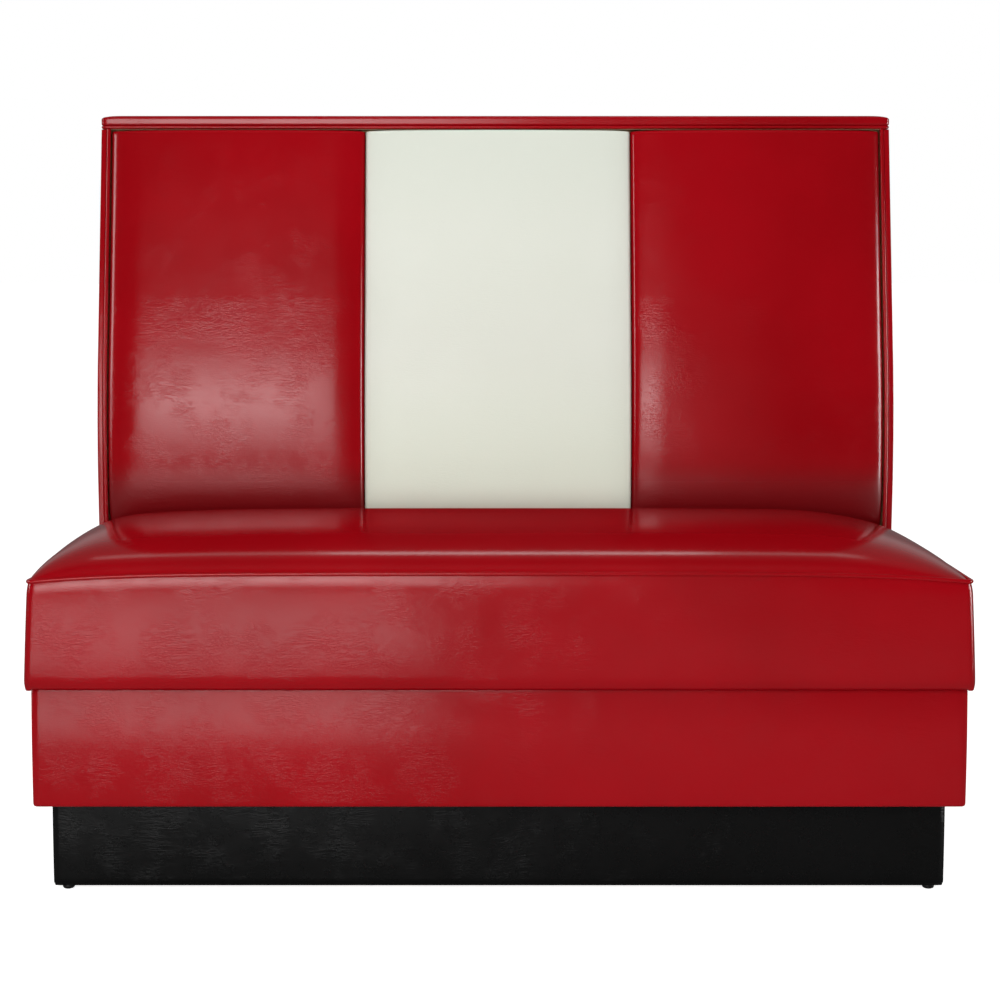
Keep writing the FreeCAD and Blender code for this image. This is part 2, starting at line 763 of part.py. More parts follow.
# A level rectangle with rounded corners, as straight runs and quarter arcs
def rounded_loop(half, front_y, rear_y, radius, z):
    inner = radius * (1 - math.sqrt(0.5))
    corners = ((1, front_y, 1), (1, rear_y, -1), (-1, rear_y, -1), (-1, front_y, 1))
    edges = []
    places = []
    for side, y, step in corners:
        across = FreeCAD.Vector(side * (half - radius), y, z)
        along = FreeCAD.Vector(side * half, y + step * radius, z)
        middle = FreeCAD.Vector(side * (half - inner), y + step * inner, z)
        start, finish = (across, along) if side == step else (along, across)
        places.append((start, middle, finish))
    for index, (start, middle, finish) in enumerate(places):
        following = places[(index + 1) % len(places)][0]
        edges.append(Part.Arc(start, middle, finish).toShape())
        edges.append(Part.LineSegment(finish, following).toShape())
    return edges


# The same rectangle as a polygon, its corners rounded by short chords
def chorded_loop(half, front_y, rear_y, radius, z):
    points = []
    corners = ((1, front_y, 1), (1, rear_y, -1), (-1, rear_y, -1), (-1, front_y, 1))
    for side, y, step in corners:
        turns = [math.radians(90 * share) for share in corner_chord_shares]
        if side != step:
            turns.reverse()
        for turn in turns:
            x = side * (half - radius * (1 - math.sin(turn)))
            points.append(FreeCAD.Vector(x, y + step * radius * (1 - math.cos(turn)), z))
    return points + points[:1]


corner_chord_shares = (0.0, 1 / 3, 2 / 3, 1.0)

# The crown of the seat along X: places from the end inward, their height and their drawn corners
crown_place_shares = (0.0, 0.016, 0.05, 0.13, 0.3, 0.6, 1.0)
crown_height_shares = (0.04, 0.12, 0.28, 0.5, 0.7, 0.86, 1.0)
crown_corner_shares = (1.0, 0.0, 0.0, 0.0, 0.0, 0.0, 0.0)

# The crown from front to rear: depth and height of the ends and middles of its three arcs
crown_depth_shares = (0.0, 0.07, 0.19, 0.52, 0.86, 0.95, 1.0)
crown_arch_shares = (0.0, 0.47, 0.74, 1.0, 0.82, 0.56, 0.0)


# The seat cushion: a boxing band that draws in upwards, and the crown inside its welt
def seat_form(inset, run_down):
    half = size("seat_width") / 2 - inset
    front = size("front_y") + inset
    rear = size("seat_rear_y") - inset
    draw = size("band_draw")
    height = size("band_height")
    radius = size("seat_corner_radius")
    bottom = size("seat_base_z")
    slant = draw / height
    low = bottom - run_down
    grow = slant * run_down
    top = bottom + height - inset
    shrink = slant * (height - inset)
    band = Part.makeLoft([
        Part.makePolygon(chorded_loop(half + grow, front - grow, rear + grow, radius, low)),
        Part.makePolygon(chorded_loop(half - shrink, front + shrink, rear - shrink, radius, top)),
    ], True, True)
    rebate = draw + 2 * size("seat_welt_radius") + size("welt_clearance")
    crown_half = half - rebate
    stations = []
    for place, share, corner in zip(crown_place_shares, crown_height_shares, crown_corner_shares):
        stations.append((crown_half - place * size("crown_run"), share, corner))
    sections = []
    for x, share, corner in [(-x, share, corner) for x, share, corner in stations] + stations[::-1]:
        draw_in = corner * size("crown_corner_draw")
        sections.append(crown_section(x, front + rebate + draw_in, rear - rebate - draw_in, top, share, inset))
    crown = Part.makeLoft(sections, True, True)
    return band.fuse(crown).removeSplitter()


def crown_section(x, front, rear, base, share, inset):
    wall = size("crown_wall") - share * inset
    low = base - size("crown_wall")

    def at(place, arch):
        return FreeCAD.Vector(x, front + (rear - front) * place, base + wall + arch * size("crown_rise") * share)

    points = [at(place, arch) for place, arch in zip(crown_depth_shares, crown_arch_shares)]
    foot_front = FreeCAD.Vector(x, front, low)
    foot_rear = FreeCAD.Vector(x, rear, low)
    edges = [
        Part.LineSegment(foot_front, points[0]),
        Part.Arc(points[0], points[1], points[2]),
        Part.Arc(points[2], points[3], points[4]),
        Part.Arc(points[4], points[5], points[6]),
        Part.LineSegment(points[6], foot_rear),
        Part.LineSegment(foot_rear, foot_front),
    ]
    return Part.Wire([edge.toShape() for edge in edges])


# Seat cover of vinyl, the foam inside it and the welt round its top edge
def seat_cushion():
    vinyl = size("vinyl")
    clear = size("soft_clearance")
    cover = seat_form(0, 0).cut(seat_form(vinyl, size("overrun")))
    feature(cover, "seat_cover")
    foam = seat_form(vinyl + clear, 0)
    cavity = Part.makeBox(
        2 * (size("seat_frame_x") + clear), size("seat_frame_rear_y") - size("seat_frame_front_y") + 2 * clear,
        size("cavity_top_z") - size("seat_base_z") + size("overrun"),
        FreeCAD.Vector(
            -size("seat_frame_x") - clear, size("seat_frame_front_y") - clear,
            size("seat_base_z") - size("overrun"),
        ),
    )
    feature(foam.cut(cavity), "seat_foam")
    radius = size("seat_welt_radius")
    inset = size("band_draw") + radius
    loop = rounded_loop(
        size("seat_width") / 2 - inset, size("front_y") + inset, size("seat_rear_y") - inset,
        size("seat_corner_radius") - radius, size("seat_base_z") + size("band_height") + radius,
    )
    feature(piping(loop, radius, FreeCAD.Vector(0, 0, 1)), "seat_welt")


# Seat frame: rails, glue blocks, dust cover and the blocks that locate the seat in its box
def seat_frame():
    thick = "seat_rail_thick"
    levels = ("seat_rail_z", "seat_rail_top_z")
    inner_x = f"seat_frame_x - {thick}"
    front = ("seat_frame_front_y", f"seat_frame_front_y + {thick}")
    rear = (f"seat_frame_rear_y - {thick}", "seat_frame_rear_y")
    keep(box("seat_front_rail", "-seat_frame_x", "seat_frame_x", *front, *levels), "seat_front_rail")
    keep(box("seat_rear_rail", "-seat_frame_x", "seat_frame_x", *rear, *levels), "seat_rear_rail")
    for side, sign in sides:
        span = side_span(sign, inner_x, "seat_frame_x")
        label = f"seat_{side}_rail"
        keep(box(label, *span, front[1], rear[0], *levels), label)
    blocks = []
    locators = []
    for side, sign in sides:
        span = side_span(sign, f"{inner_x} - glue_block", inner_x)
        tops = (levels[0], f"{levels[0]} + glue_block")
        blocks.append(box(f"seat_block_{side}_front", *span, front[1], f"{front[1]} + glue_block", *tops))
        blocks.append(box(f"seat_block_{side}_rear", *span, f"{rear[0]} - glue_block", rear[0], *tops))
        outer = "panel_inner_x - locating_clearance"
        span = side_span(sign, f"{outer} - locating_block_length", outer)
        start = "arm_front_y + rail_thick + locating_front_gap"
        stop = "rib_foot_y - ledger_width - locating_clearance"
        drop = ("seat_base_z - locating_block_drop", "seat_base_z")
        locators.append(box(f"locator_{side}_front", *span, start, f"{start} + locating_block_width", *drop))
        locators.append(box(f"locator_{side}_rear", *span, f"{stop} - locating_block_width", stop, *drop))
    keep(group("seat_corner_blocks", blocks), "seat_corner_blocks")
    keep(group("seat_locating_blocks", locators), "seat_locating_blocks")
    keep(
        box(
            "seat_dust_cover", "-seat_frame_x", "seat_frame_x", "seat_frame_front_y", "seat_frame_rear_y",
            "seat_base_z", "seat_rail_z",
        ),
        "seat_dust_cover",
    )
    keep(
        box(
            "spring_pad", "-seat_frame_x", "seat_frame_x", "seat_frame_front_y", "seat_frame_rear_y",
            "spring_pad_z", "spring_pad_z + spring_pad_thick",
        ),
        "spring_pad",
    )


# Zigzag springs: straight runs joined by half turns of short chords, from front rail to rear rail
def zigzag_spring(first_y, last_y, z):
    pitch = size("spring_pitch")
    radius = pitch / 2
    runs = int((last_y - first_y) // pitch) + 1
    start_y = (first_y + last_y - (runs - 1) * pitch) / 2
    reach = size("spring_half_width") - radius
    points = [FreeCAD.Vector(-reach, start_y, z)]
    for index in range(runs):
        side = 1 if index % 2 == 0 else -1
        y = start_y + index * pitch
        points.append(FreeCAD.Vector(side * reach, y, z))
        if index == runs - 1:
            break
        for chord in range(1, bend_chords + 1):
            turn = math.pi * chord / bend_chords
            x = side * (reach + radius * math.sin(turn))
            points.append(FreeCAD.Vector(x, y + radius * (1 - math.cos(turn)), z))
    radius = size("spring_wire_radius")
    turns = [math.radians(360 * index / wire_facets) for index in range(wire_facets + 1)]
    rim = [points[0] + FreeCAD.Vector(0, radius * math.cos(turn), radius * math.sin(turn)) for turn in turns]
    spring = Part.Wire(Part.makePolygon(points)).makePipeShell([Part.makePolygon(rim)], True, False, 1)
    return spring, start_y, start_y + (runs - 1) * pitch


wire_facets = 6
bend_chords = 4


def seat_springs():
    rail = size("seat_rail_thick")
    first_y = size("seat_frame_front_y") + rail / 2
    last_y = size("seat_frame_rear_y") - rail / 2
    spacing = size("spring_spacing")
    count = int(2 * size("seat_frame_x") // spacing)
    springs = []
    clips = []
    wire = size("spring_wire_radius")
    plate = size("clip_plate")
    spring, start_y, finish_y = zigzag_spring(first_y, last_y, size("spring_z"))
    for index in range(count):
        x = (index - (count - 1) / 2) * spacing
        springs.append(spring.translated(FreeCAD.Vector(x, 0, 0)))
        for y, step in ((start_y, 1), (finish_y, -1)):
            clips.append(spring_clip(x, y, step, wire, plate))
    feature(Part.makeCompound(springs), "zigzag_springs")
    feature(Part.makeCompound(clips), "spring_clips")


# A bent steel clip: a plate on the rail, folded back over the end run of the wire
def spring_clip(x, y, step, wire, plate):
    width = size("clip_width")
    length = size("clip_length")
    bottom = size("seat_rail_top_z")
    gap = size("clip_clearance")
    front = y - wire - gap - plate if step > 0 else y + wire + gap + plate - length
    corner = FreeCAD.Vector(x - width / 2, front, bottom)
    block = Part.makeBox(width, length, 2 * (wire + plate + gap), corner)
    slot_y = front + plate if step > 0 else front - plate
    slot_corner = FreeCAD.Vector(x - width / 2 - plate, slot_y, bottom + plate)
    slot = Part.makeBox(width + 2 * plate, length, 2 * (wire + gap), slot_corner)
    return block.cut(slot)


for side_name, side_sign in sides:
    end_panel(side_name, side_sign)
    end_cover(side_name, side_sign)
back_ribs()
frame_timber()
skirt_cover()
base()
glides()
end_welts()
channel_boards()
channel_pads()
cap()
seat_cushion()
seat_frame()
seat_springs()
doc.recompute()

for piece in doc.Objects:
    if "Invalid" in piece.State or "Error" in piece.State:
        raise RuntimeError(f"{piece.Label} did not rebuild")
for piece in nodes:
    if piece.Shape.isNull() or not piece.Shape.isValid():
        raise RuntimeError(f"{piece.Label} has no sound shape")
for piece in nodes:
    piece.Shape.exportStep(f"parts/{piece.Label}.step")
print(f"{len(nodes)} nodes written")
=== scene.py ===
import math

import bmesh
import bpy
import numpy as np
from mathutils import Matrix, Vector, noise


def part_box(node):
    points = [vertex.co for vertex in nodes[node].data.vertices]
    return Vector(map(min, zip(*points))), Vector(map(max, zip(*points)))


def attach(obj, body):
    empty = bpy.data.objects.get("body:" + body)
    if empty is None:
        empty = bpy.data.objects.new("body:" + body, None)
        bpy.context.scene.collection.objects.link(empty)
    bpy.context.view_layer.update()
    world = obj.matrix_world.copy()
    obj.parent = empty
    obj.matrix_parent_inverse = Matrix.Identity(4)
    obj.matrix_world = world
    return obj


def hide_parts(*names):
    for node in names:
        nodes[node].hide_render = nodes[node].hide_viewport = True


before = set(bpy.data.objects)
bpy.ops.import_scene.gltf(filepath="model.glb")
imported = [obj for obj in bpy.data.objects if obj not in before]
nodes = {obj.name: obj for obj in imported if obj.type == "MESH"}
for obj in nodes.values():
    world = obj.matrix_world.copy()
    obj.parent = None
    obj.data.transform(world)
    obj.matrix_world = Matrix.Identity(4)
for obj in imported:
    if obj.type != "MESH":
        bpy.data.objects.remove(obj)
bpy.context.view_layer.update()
mm = 0.001
print("frame loaded:", len(nodes), "nodes")


# camera where the photograph was taken from, for a square picture
cameraSettings = {
    "place": (-0.0354, -2.6495, 0.8152),
    "pitch": 6.87,
    "lens": 66.83,
    "sensor": 36.0,
    "shiftX": 0.0279,
    "shiftY": 0.0,
}
cameraData = bpy.data.cameras.new("photoCamera")
cameraData.lens = cameraSettings["lens"]
cameraData.sensor_width = cameraSettings["sensor"]
cameraData.sensor_fit = "HORIZONTAL"
cameraData.shift_x = cameraSettings["shiftX"]
cameraData.shift_y = cameraSettings["shiftY"]
camera = bpy.data.objects.new("photoCamera", cameraData)
camera.location = cameraSettings["place"]
camera.rotation_euler = (math.radians(90 - cameraSettings["pitch"]), 0, 0)
bpy.context.scene.collection.objects.link(camera)
bpy.context.scene.camera = camera
bpy.context.scene.view_settings.view_transform = "Standard"


# the key light: soft edged, made of soft boxes one inside the other, each given as left, right, low and high
keyLight = {
    "inner": (-1.45, -0.32, 1.06, 1.43), "outer": (-1.65, 0.1, 0.58, 1.98),
    "boxes": 5, "placeY": -3.0, "spacing": 0.02, "radiance": 10.6,
}

# soft boxes: place, the point each faces, width, height and power in watts. Some only shine, some only shade
lightSettings = {
    "wideHalo": {
        "at": (-0.75, -3.04, 1.5), "to": (-0.75, 0.0, 1.5), "size": (1.9, 2.0), "power": 2.6, "does": "shine",
    },
    "lowShine": {
        "at": (-0.88, -2.2, 0.18), "to": (-0.88, 0.0, 0.18), "size": (1.45, 0.32), "power": 5.0, "does": "shine",
    },
    "bandShine": {
        "at": (0.1, 1.55, 2.72), "to": (0.1, -0.28, 0.46), "size": (1.1, 0.34), "power": 4.4, "does": "shine",
    },
    "wideShine": {
        "at": (0.0, 1.55, 2.72), "to": (0.0, -0.28, 0.46), "size": (2.6, 0.34), "power": 2.8, "does": "shine",
    },
    "leftWall": {
        "at": (-2.6, -0.7, 1.38), "to": (0.0, 0.0, 0.8), "size": (0.7, 1.4), "power": 25, "does": "shine",
    },
    "rightWall": {
        "at": (2.6, -0.7, 0.87), "to": (0.0, 0.0, 0.7), "size": (0.7, 1.3), "power": 50, "does": "shine",
    },
    "frontFill": {
        "at": (-0.4, -3.4, 1.15), "to": (0.0, 0.0, 0.5), "size": (2.4, 1.8), "power": 66, "does": "shade",
    },
    "topFill": {
        "at": (-0.1, -0.7, 3.2), "to": (0.0, -0.1, 0.4), "size": (2.4, 1.6), "power": 29, "does": "shade",
    },
}
for index in range(keyLight["boxes"]):
    share = index / (keyLight["boxes"] - 1)
    left, right, low, high = (
        inner + (outer - inner) * share for inner, outer in zip(keyLight["inner"], keyLight["outer"])
    )
    width, height = right - left, high - low
    place = ((left + right) / 2, keyLight["placeY"] - keyLight["spacing"] * index, (low + high) / 2)
    lightSettings[f"key{index + 1}"] = {
        "at": place, "to": (place[0], 0.0, place[2]), "size": (width, height),
        "power": keyLight["radiance"] / keyLight["boxes"] * math.pi * width * height, "does": "shine",
    }
for lightName, setting in lightSettings.items():
    lampData = bpy.data.lights.new(lightName, "AREA")
    lampData.shape = "RECTANGLE"
    lampData.size, lampData.size_y = setting["size"]
    lampData.energy = setting["power"]
    lamp = bpy.data.objects.new(lightName, lampData)
    lamp.location = setting["at"]
    aim = Vector(setting["to"]) - Vector(setting["at"])
    lamp.rotation_euler = aim.to_track_quat("-Z", "Y").to_euler()
    lamp.visible_camera = False
    lamp.visible_glossy = setting["does"] == "shine"
    lamp.visible_diffuse = setting["does"] == "shade"
    bpy.context.scene.collection.objects.link(lamp)


# node helpers
def addNode(tree, kind, inputs=None, **settings):
    node = tree.nodes.new(kind)
    for key, setting in settings.items():
        setattr(node, key, setting)
    for key, source in (inputs or {}).items():
        socket = node.inputs[key]
        if isinstance(source, bpy.types.NodeSocket):
            tree.links.new(source, socket)
        else:
            socket.default_value = source
    return node


def addMath(tree, operation, first, second=0.0):
    return addNode(tree, "ShaderNodeMath", {0: first, 1: second}, operation=operation).outputs[0]


def addMix(tree, factor, first, second):
    node = addNode(tree, "ShaderNodeMix", {0: factor}, data_type="RGBA")
    for index, source in ((6, first), (7, second)):
        if isinstance(source, bpy.types.NodeSocket):
            tree.links.new(source, node.inputs[index])
        else:
            node.inputs[index].default_value = source
    return node.outputs[2]


def addRange(tree, source, low, high, newLow=0.0, newHigh=1.0):
    inputs = {0: source, 1: low, 2: high, 3: newLow, 4: newHigh}
    return addNode(tree, "ShaderNodeMapRange", inputs, interpolation_type="SMOOTHSTEP").outputs[0]


def addBump(tree, shader, height, strength, distance):
    bump = addNode(tree, "ShaderNodeBump", {"Height": height, "Strength": strength, "Distance": distance})
    tree.links.new(bump.outputs[0], shader.inputs["Normal"])


# world: white behind the object, a dim studio in front of it, even fill on every surface
worldSettings = {
    "fill": 0.33, "studio": 0.012, "backdrop": 0.34, "behind": (0.25, 0.55),
    "high": 0.35, "highFrom": (0.12, 0.5), "low": 0.28, "lowFrom": (0.02, 0.16),
}
world = bpy.data.worlds.new("studio")
bpy.context.scene.world = world
world.use_nodes = True
tree = world.node_tree
tree.nodes.clear()
rays = addNode(tree, "ShaderNodeLightPath")
skyPlace = addNode(tree, "ShaderNodeTexCoord").outputs["Generated"]
direction = addNode(tree, "ShaderNodeSeparateXYZ", {0: skyPlace})
behind = addRange(tree, direction.outputs["Y"], *worldSettings["behind"])
highShare = addRange(tree, direction.outputs["Z"], *worldSettings["highFrom"], 1.0, worldSettings["high"])
lowShare = addRange(tree, direction.outputs["Z"], *worldSettings["lowFrom"], worldSettings["low"], 1.0)
behind = addMath(tree, "MULTIPLY", addMath(tree, "MULTIPLY", behind, highShare), lowShare)
glossyLevel = addMath(tree, "MULTIPLY", behind, worldSettings["backdrop"])
glossyLevel = addMath(tree, "ADD", glossyLevel, worldSettings["studio"])
seenDirectly = addMath(tree, "MAXIMUM", rays.outputs["Is Camera Ray"], rays.outputs["Is Transmission Ray"])
level = addMath(tree, "MULTIPLY", rays.outputs["Is Glossy Ray"], glossyLevel)
notGlossy = addMath(tree, "SUBTRACT", 1.0, rays.outputs["Is Glossy Ray"])
level = addMath(tree, "ADD", level, addMath(tree, "MULTIPLY", notGlossy, worldSettings["fill"]))
level = addMath(tree, "MAXIMUM", level, seenDirectly)
background = addNode(tree, "ShaderNodeBackground", {"Color": (1, 1, 1, 1), "Strength": level})
tree.links.new(background.outputs[0], addNode(tree, "ShaderNodeOutputWorld").inputs["Surface"])


# floor: pale, and lifted to white where it is seen directly, with the object's shadow kept
floorSettings = {
    "size": 400.0, "colour": (0.75, 0.75, 0.75, 1), "inGloss": (0.22, 0.22, 0.22, 1), "lift": 0.86, "sheen": 0.05,
}
floorMesh = bpy.data.meshes.new("floor")
bm = bmesh.new()
bmesh.ops.create_grid(bm, x_segments=1, y_segments=1, size=floorSettings["size"] / 2)
bm.to_mesh(floorMesh)
bm.free()
floor = bpy.data.objects.new("floor", floorMesh)
bpy.context.scene.collection.objects.link(floor)
floorPaint = bpy.data.materials.new("floorPaint")
floorPaint.use_nodes = True
tree = floorPaint.node_tree
tree.nodes.clear()
rays = addNode(tree, "ShaderNodeLightPath")
seen = addMath(tree, "MAXIMUM", rays.outputs["Is Camera Ray"], rays.outputs["Is Transmission Ray"])
shine = addMath(tree, "MULTIPLY", rays.outputs["Is Glossy Ray"], floorSettings["sheen"] / floorSettings["lift"])
seen = addMath(tree, "MAXIMUM", seen, shine)
colour = addMix(tree, rays.outputs["Is Glossy Ray"], floorSettings["colour"], floorSettings["inGloss"])
diffuse = addNode(tree, "ShaderNodeBsdfDiffuse", {"Color": colour})
glow = addNode(tree, "ShaderNodeEmission", {"Strength": addMath(tree, "MULTIPLY", seen, floorSettings["lift"])})
both = addNode(tree, "ShaderNodeAddShader", {0: diffuse.outputs[0], 1: glow.outputs[0]})
tree.links.new(both.outputs[0], addNode(tree, "ShaderNodeOutputMaterial").inputs["Surface"])
floorMesh.materials.append(floorPaint)
print("camera, lights and floor set")


# vinyl grain shared by every vinyl: small pebbles, level creases in patches, and a faint cast
grainSettings = {
    "stretch": (0.16, 0.4, 1.0), "swayScale": 14.0, "sway": 0.02, "fineScale": 330.0, "broadScale": 120.0,
    "ridgeWidth": 0.09, "fineHeight": 0.6, "broadHeight": 0.9, "patchScale": 16.0, "patchFrom": (0.4, 0.68),
    "patchLeast": 0.15, "pebbleScale": 780.0, "castScale": 3.2, "castFrom": (0.3, 0.7), "wearScale": 34.0,
    "wearFrom": (0.35, 0.75),
}


def addNoise(tree, place, scale, detail, roughness=0.5, output=0):
    inputs = {"Vector": place, "Scale": scale, "Detail": detail, "Roughness": roughness}
    return addNode(tree, "ShaderNodeTexNoise", inputs).outputs[output]


def makeVinylGrain():
    look = grainSettings
    group = bpy.data.node_groups.new("vinylGrain", "ShaderNodeTree")
    for name, start in (("Pebble", 0.35), ("Creases", 1.0)):
        socket = group.interface.new_socket(name, in_out="INPUT", socket_type="NodeSocketFloat")
        socket.default_value = start
    for name in ("Height", "Tone", "Wear"):
        group.interface.new_socket(name, in_out="OUTPUT", socket_type="NodeSocketFloat")
    inside = addNode(group, "NodeGroupInput")
    outside = addNode(group, "NodeGroupOutput")
    place = addNode(group, "ShaderNodeTexCoord").outputs["Object"]
    stretched = addNode(group, "ShaderNodeMapping", {"Vector": place, "Scale": look["stretch"]}).outputs[0]
    sway = addNoise(group, place, look["swayScale"], 2.0, output="Color")
    bent = addNode(group, "ShaderNodeVectorMath", {0: sway, 1: (0.5, 0.5, 0.5)}, operation="SUBTRACT").outputs[0]
    bent = addNode(group, "ShaderNodeVectorMath", {0: bent, "Scale": look["sway"]}, operation="SCALE").outputs[0]
    creasePlace = addNode(group, "ShaderNodeVectorMath", {0: stretched, 1: bent}, operation="ADD").outputs[0]
    fine = addNoise(group, creasePlace, look["fineScale"], 2.5, 0.6)
    broad = addNoise(group, creasePlace, look["broadScale"], 2.0)
    ridge = addMath(group, "ABSOLUTE", addMath(group, "SUBTRACT", fine, 0.5))
    ridge = addRange(group, ridge, 0.0, look["ridgeWidth"])
    patch = addNoise(group, place, look["patchScale"], 3.0, 0.6)
    patch = addRange(group, patch, *look["patchFrom"], look["patchLeast"], 1.0)
    crease = addMath(group, "MULTIPLY", addMath(group, "MULTIPLY", ridge, patch), inside.outputs["Creases"])
    swell = addMath(group, "MULTIPLY", addMath(group, "MULTIPLY", broad, patch), inside.outputs["Creases"])
    pebbleInputs = {"Vector": place, "Scale": look["pebbleScale"]}
    pebbles = addNode(group, "ShaderNodeTexVoronoi", pebbleInputs, feature="SMOOTH_F1").outputs[0]
    pebbles = addMath(group, "MULTIPLY", pebbles, inside.outputs["Pebble"])
    crease = addMath(group, "MULTIPLY", crease, look["fineHeight"])
    swell = addMath(group, "MULTIPLY", swell, look["broadHeight"])
    height = addMath(group, "ADD", addMath(group, "ADD", crease, swell), pebbles)
    group.links.new(height, outside.inputs["Height"])
    tone = addRange(group, addNoise(group, place, look["castScale"], 3.0), *look["castFrom"])
    group.links.new(tone, outside.inputs["Tone"])
    worn = addRange(group, addNoise(group, place, look["wearScale"], 4.0, 0.65), *look["wearFrom"])
    group.links.new(worn, outside.inputs["Wear"])
    return group


vinylGrain = makeVinylGrain()
vinylSettings = {
    "redVinyl": {
        "dark": (0.29, 0.0012, 0.0042, 1), "light": (0.34, 0.0015, 0.0056, 1), "rough": (0.135, 0.155),
        "specular": 0.3, "creases": 1.0, "pebble": 0.12, "bump": 0.24, "smoothAbove": 0.78, "smoothShare": 0.35,
    },
    "whiteVinyl": {
        "dark": (0.735, 0.762, 0.675, 1), "light": (0.76, 0.785, 0.705, 1), "rough": (0.42, 0.5),
        "specular": 0.12, "creases": 0.6, "pebble": 0.3, "bump": 0.25,
        # painted light and shade: the white channel is painted lighter towards its foot and darker towards its
        # head
        "foot": (0.8, 0.88, 0.745, 1), "footZ": (0.48, 0.74), "head": (0.7, 0.735, 0.65, 1), "headZ": (0.84, 1.05),
        # painted reflection: in mirrors the white vinyl shows as dark red
        "paintedMirrorColour": (0.3, 0.0013, 0.0045, 1),
    },
    "blackVinyl": {
        "dark": (0.0015, 0.0015, 0.0015, 1), "light": (0.003, 0.003, 0.003, 1), "rough": (0.27, 0.31),
        "specular": 0.22, "creases": 1.0, "pebble": 0.3, "bump": 0.35,
    },
    "seatVinyl": {
        "dark": (0.28, 0.0012, 0.0042, 1), "light": (0.33, 0.0015, 0.0056, 1), "rough": (0.14, 0.16),
        "specular": 0.3, "creases": 1.0, "pebble": 0.08, "bump": 0.24, "smoothAbove": 0.43, "smoothShare": 0.12,
    },
}
# the red channels' foot: painted shade, darker towards the crease above the seat, and rougher there
vinylSettings["channelVinyl"] = {
    **vinylSettings["redVinyl"], "foot": (0.19, 0.0008, 0.003, 1), "footZ": (0.483, 0.545), "footRough": 0.36,
}
smoothRun = 0.012
vinylRelief = 0.0006


def makeVinyl(name, setting):
    material = bpy.data.materials.new(name)
    material.use_nodes = True
    tree = material.node_tree
    shader = tree.nodes["Principled BSDF"]
    place = addNode(tree, "ShaderNodeTexCoord").outputs["Object"]
    height = addNode(tree, "ShaderNodeSeparateXYZ", {0: place}).outputs["Z"]
    grain = addNode(tree, "ShaderNodeGroup", node_tree=vinylGrain)
    grain.inputs["Pebble"].default_value = setting["pebble"]
    grain.inputs["Creases"].default_value = setting["creases"]
    if "smoothAbove" in setting:
        low = setting["smoothAbove"]
        kept = addRange(tree, height, low, low + smoothRun, setting["creases"], setting["smoothShare"])
        tree.links.new(kept, grain.inputs["Creases"])
    colour = addMix(tree, grain.outputs["Tone"], setting["dark"], setting["light"])
    # painted light and shade along the height: a foot colour lightens or darkens the lower part, a head colour
    # darkens the upper part
    if "foot" in setting:
        colour = addMix(tree, addRange(tree, height, *setting["footZ"]), setting["foot"], colour)
    if "head" in setting:
        colour = addMix(tree, addRange(tree, height, *setting["headZ"]), colour, setting["head"])
    # painted reflection: the colour that mirror images of this vinyl show in place of its own
    if "paintedMirrorColour" in setting:
        rays = addNode(tree, "ShaderNodeLightPath")
        colour = addMix(tree, rays.outputs["Is Glossy Ray"], colour, setting["paintedMirrorColour"])
    tree.links.new(colour, shader.inputs["Base Color"])
    rough = addRange(tree, grain.outputs["Wear"], 0.0, 1.0, *setting["rough"])
    if "footRough" in setting:
        foot = addRange(tree, height, *setting["footZ"], setting["footRough"], setting["rough"][0])
        rough = addMath(tree, "MAXIMUM", rough, foot)
    tree.links.new(rough, shader.inputs["Roughness"])
    shader.inputs["Specular IOR Level"].default_value = setting["specular"]
    addBump(tree, shader, grain.outputs["Height"], setting["bump"], vinylRelief)
    return material


materials = {name: makeVinyl(name, setting) for name, setting in vinylSettings.items()}


# wood shared by boards and rails: long streaks along one axis, rings and pores
woodSettings = {
    "streakScale": 60.0, "streakTone": 0.6, "streakHeight": 0.5, "poreScale": 700.0, "ringScale": 16.0,
    "ringTone": 0.4, "toneFrom": (0.25, 0.8), "rough": (0.72, 0.58), "bump": 0.3, "relief": 0.0004,
}


def makeWoodGrain():
    look = woodSettings
    group = bpy.data.node_groups.new("woodGrain", "ShaderNodeTree")
    socket = group.interface.new_socket("Along", in_out="INPUT", socket_type="NodeSocketVector")
    socket.default_value = (0.05, 1.0, 1.0)
    for name in ("Tone", "Height"):
        group.interface.new_socket(name, in_out="OUTPUT", socket_type="NodeSocketFloat")
    inside = addNode(group, "NodeGroupInput")
    outside = addNode(group, "NodeGroupOutput")
    place = addNode(group, "ShaderNodeTexCoord").outputs["Object"]
    longInputs = {0: place, 1: inside.outputs["Along"]}
    long = addNode(group, "ShaderNodeVectorMath", longInputs, operation="MULTIPLY").outputs[0]
    streakInputs = {"Vector": long, "Scale": look["streakScale"], "Detail": 5.0, "Distortion": 0.6}
    streak = addNode(group, "ShaderNodeTexNoise", streakInputs).outputs[0]
    pores = addNoise(group, long, look["poreScale"], 2.0)
    ringInputs = {"Vector": long, "Scale": look["ringScale"], "Distortion": 5.0, "Detail": 3.0}
    rings = addNode(group, "ShaderNodeTexWave", ringInputs).outputs[1]
    streakTone = addMath(group, "MULTIPLY", streak, look["streakTone"])
    tone = addMath(group, "ADD", streakTone, addMath(group, "MULTIPLY", rings, look["ringTone"]))
    group.links.new(tone, outside.inputs["Tone"])
    height = addMath(group, "ADD", addMath(group, "MULTIPLY", streak, look["streakHeight"]), pores)
    group.links.new(height, outside.inputs["Height"])
    return group


woodGrain = makeWoodGrain()


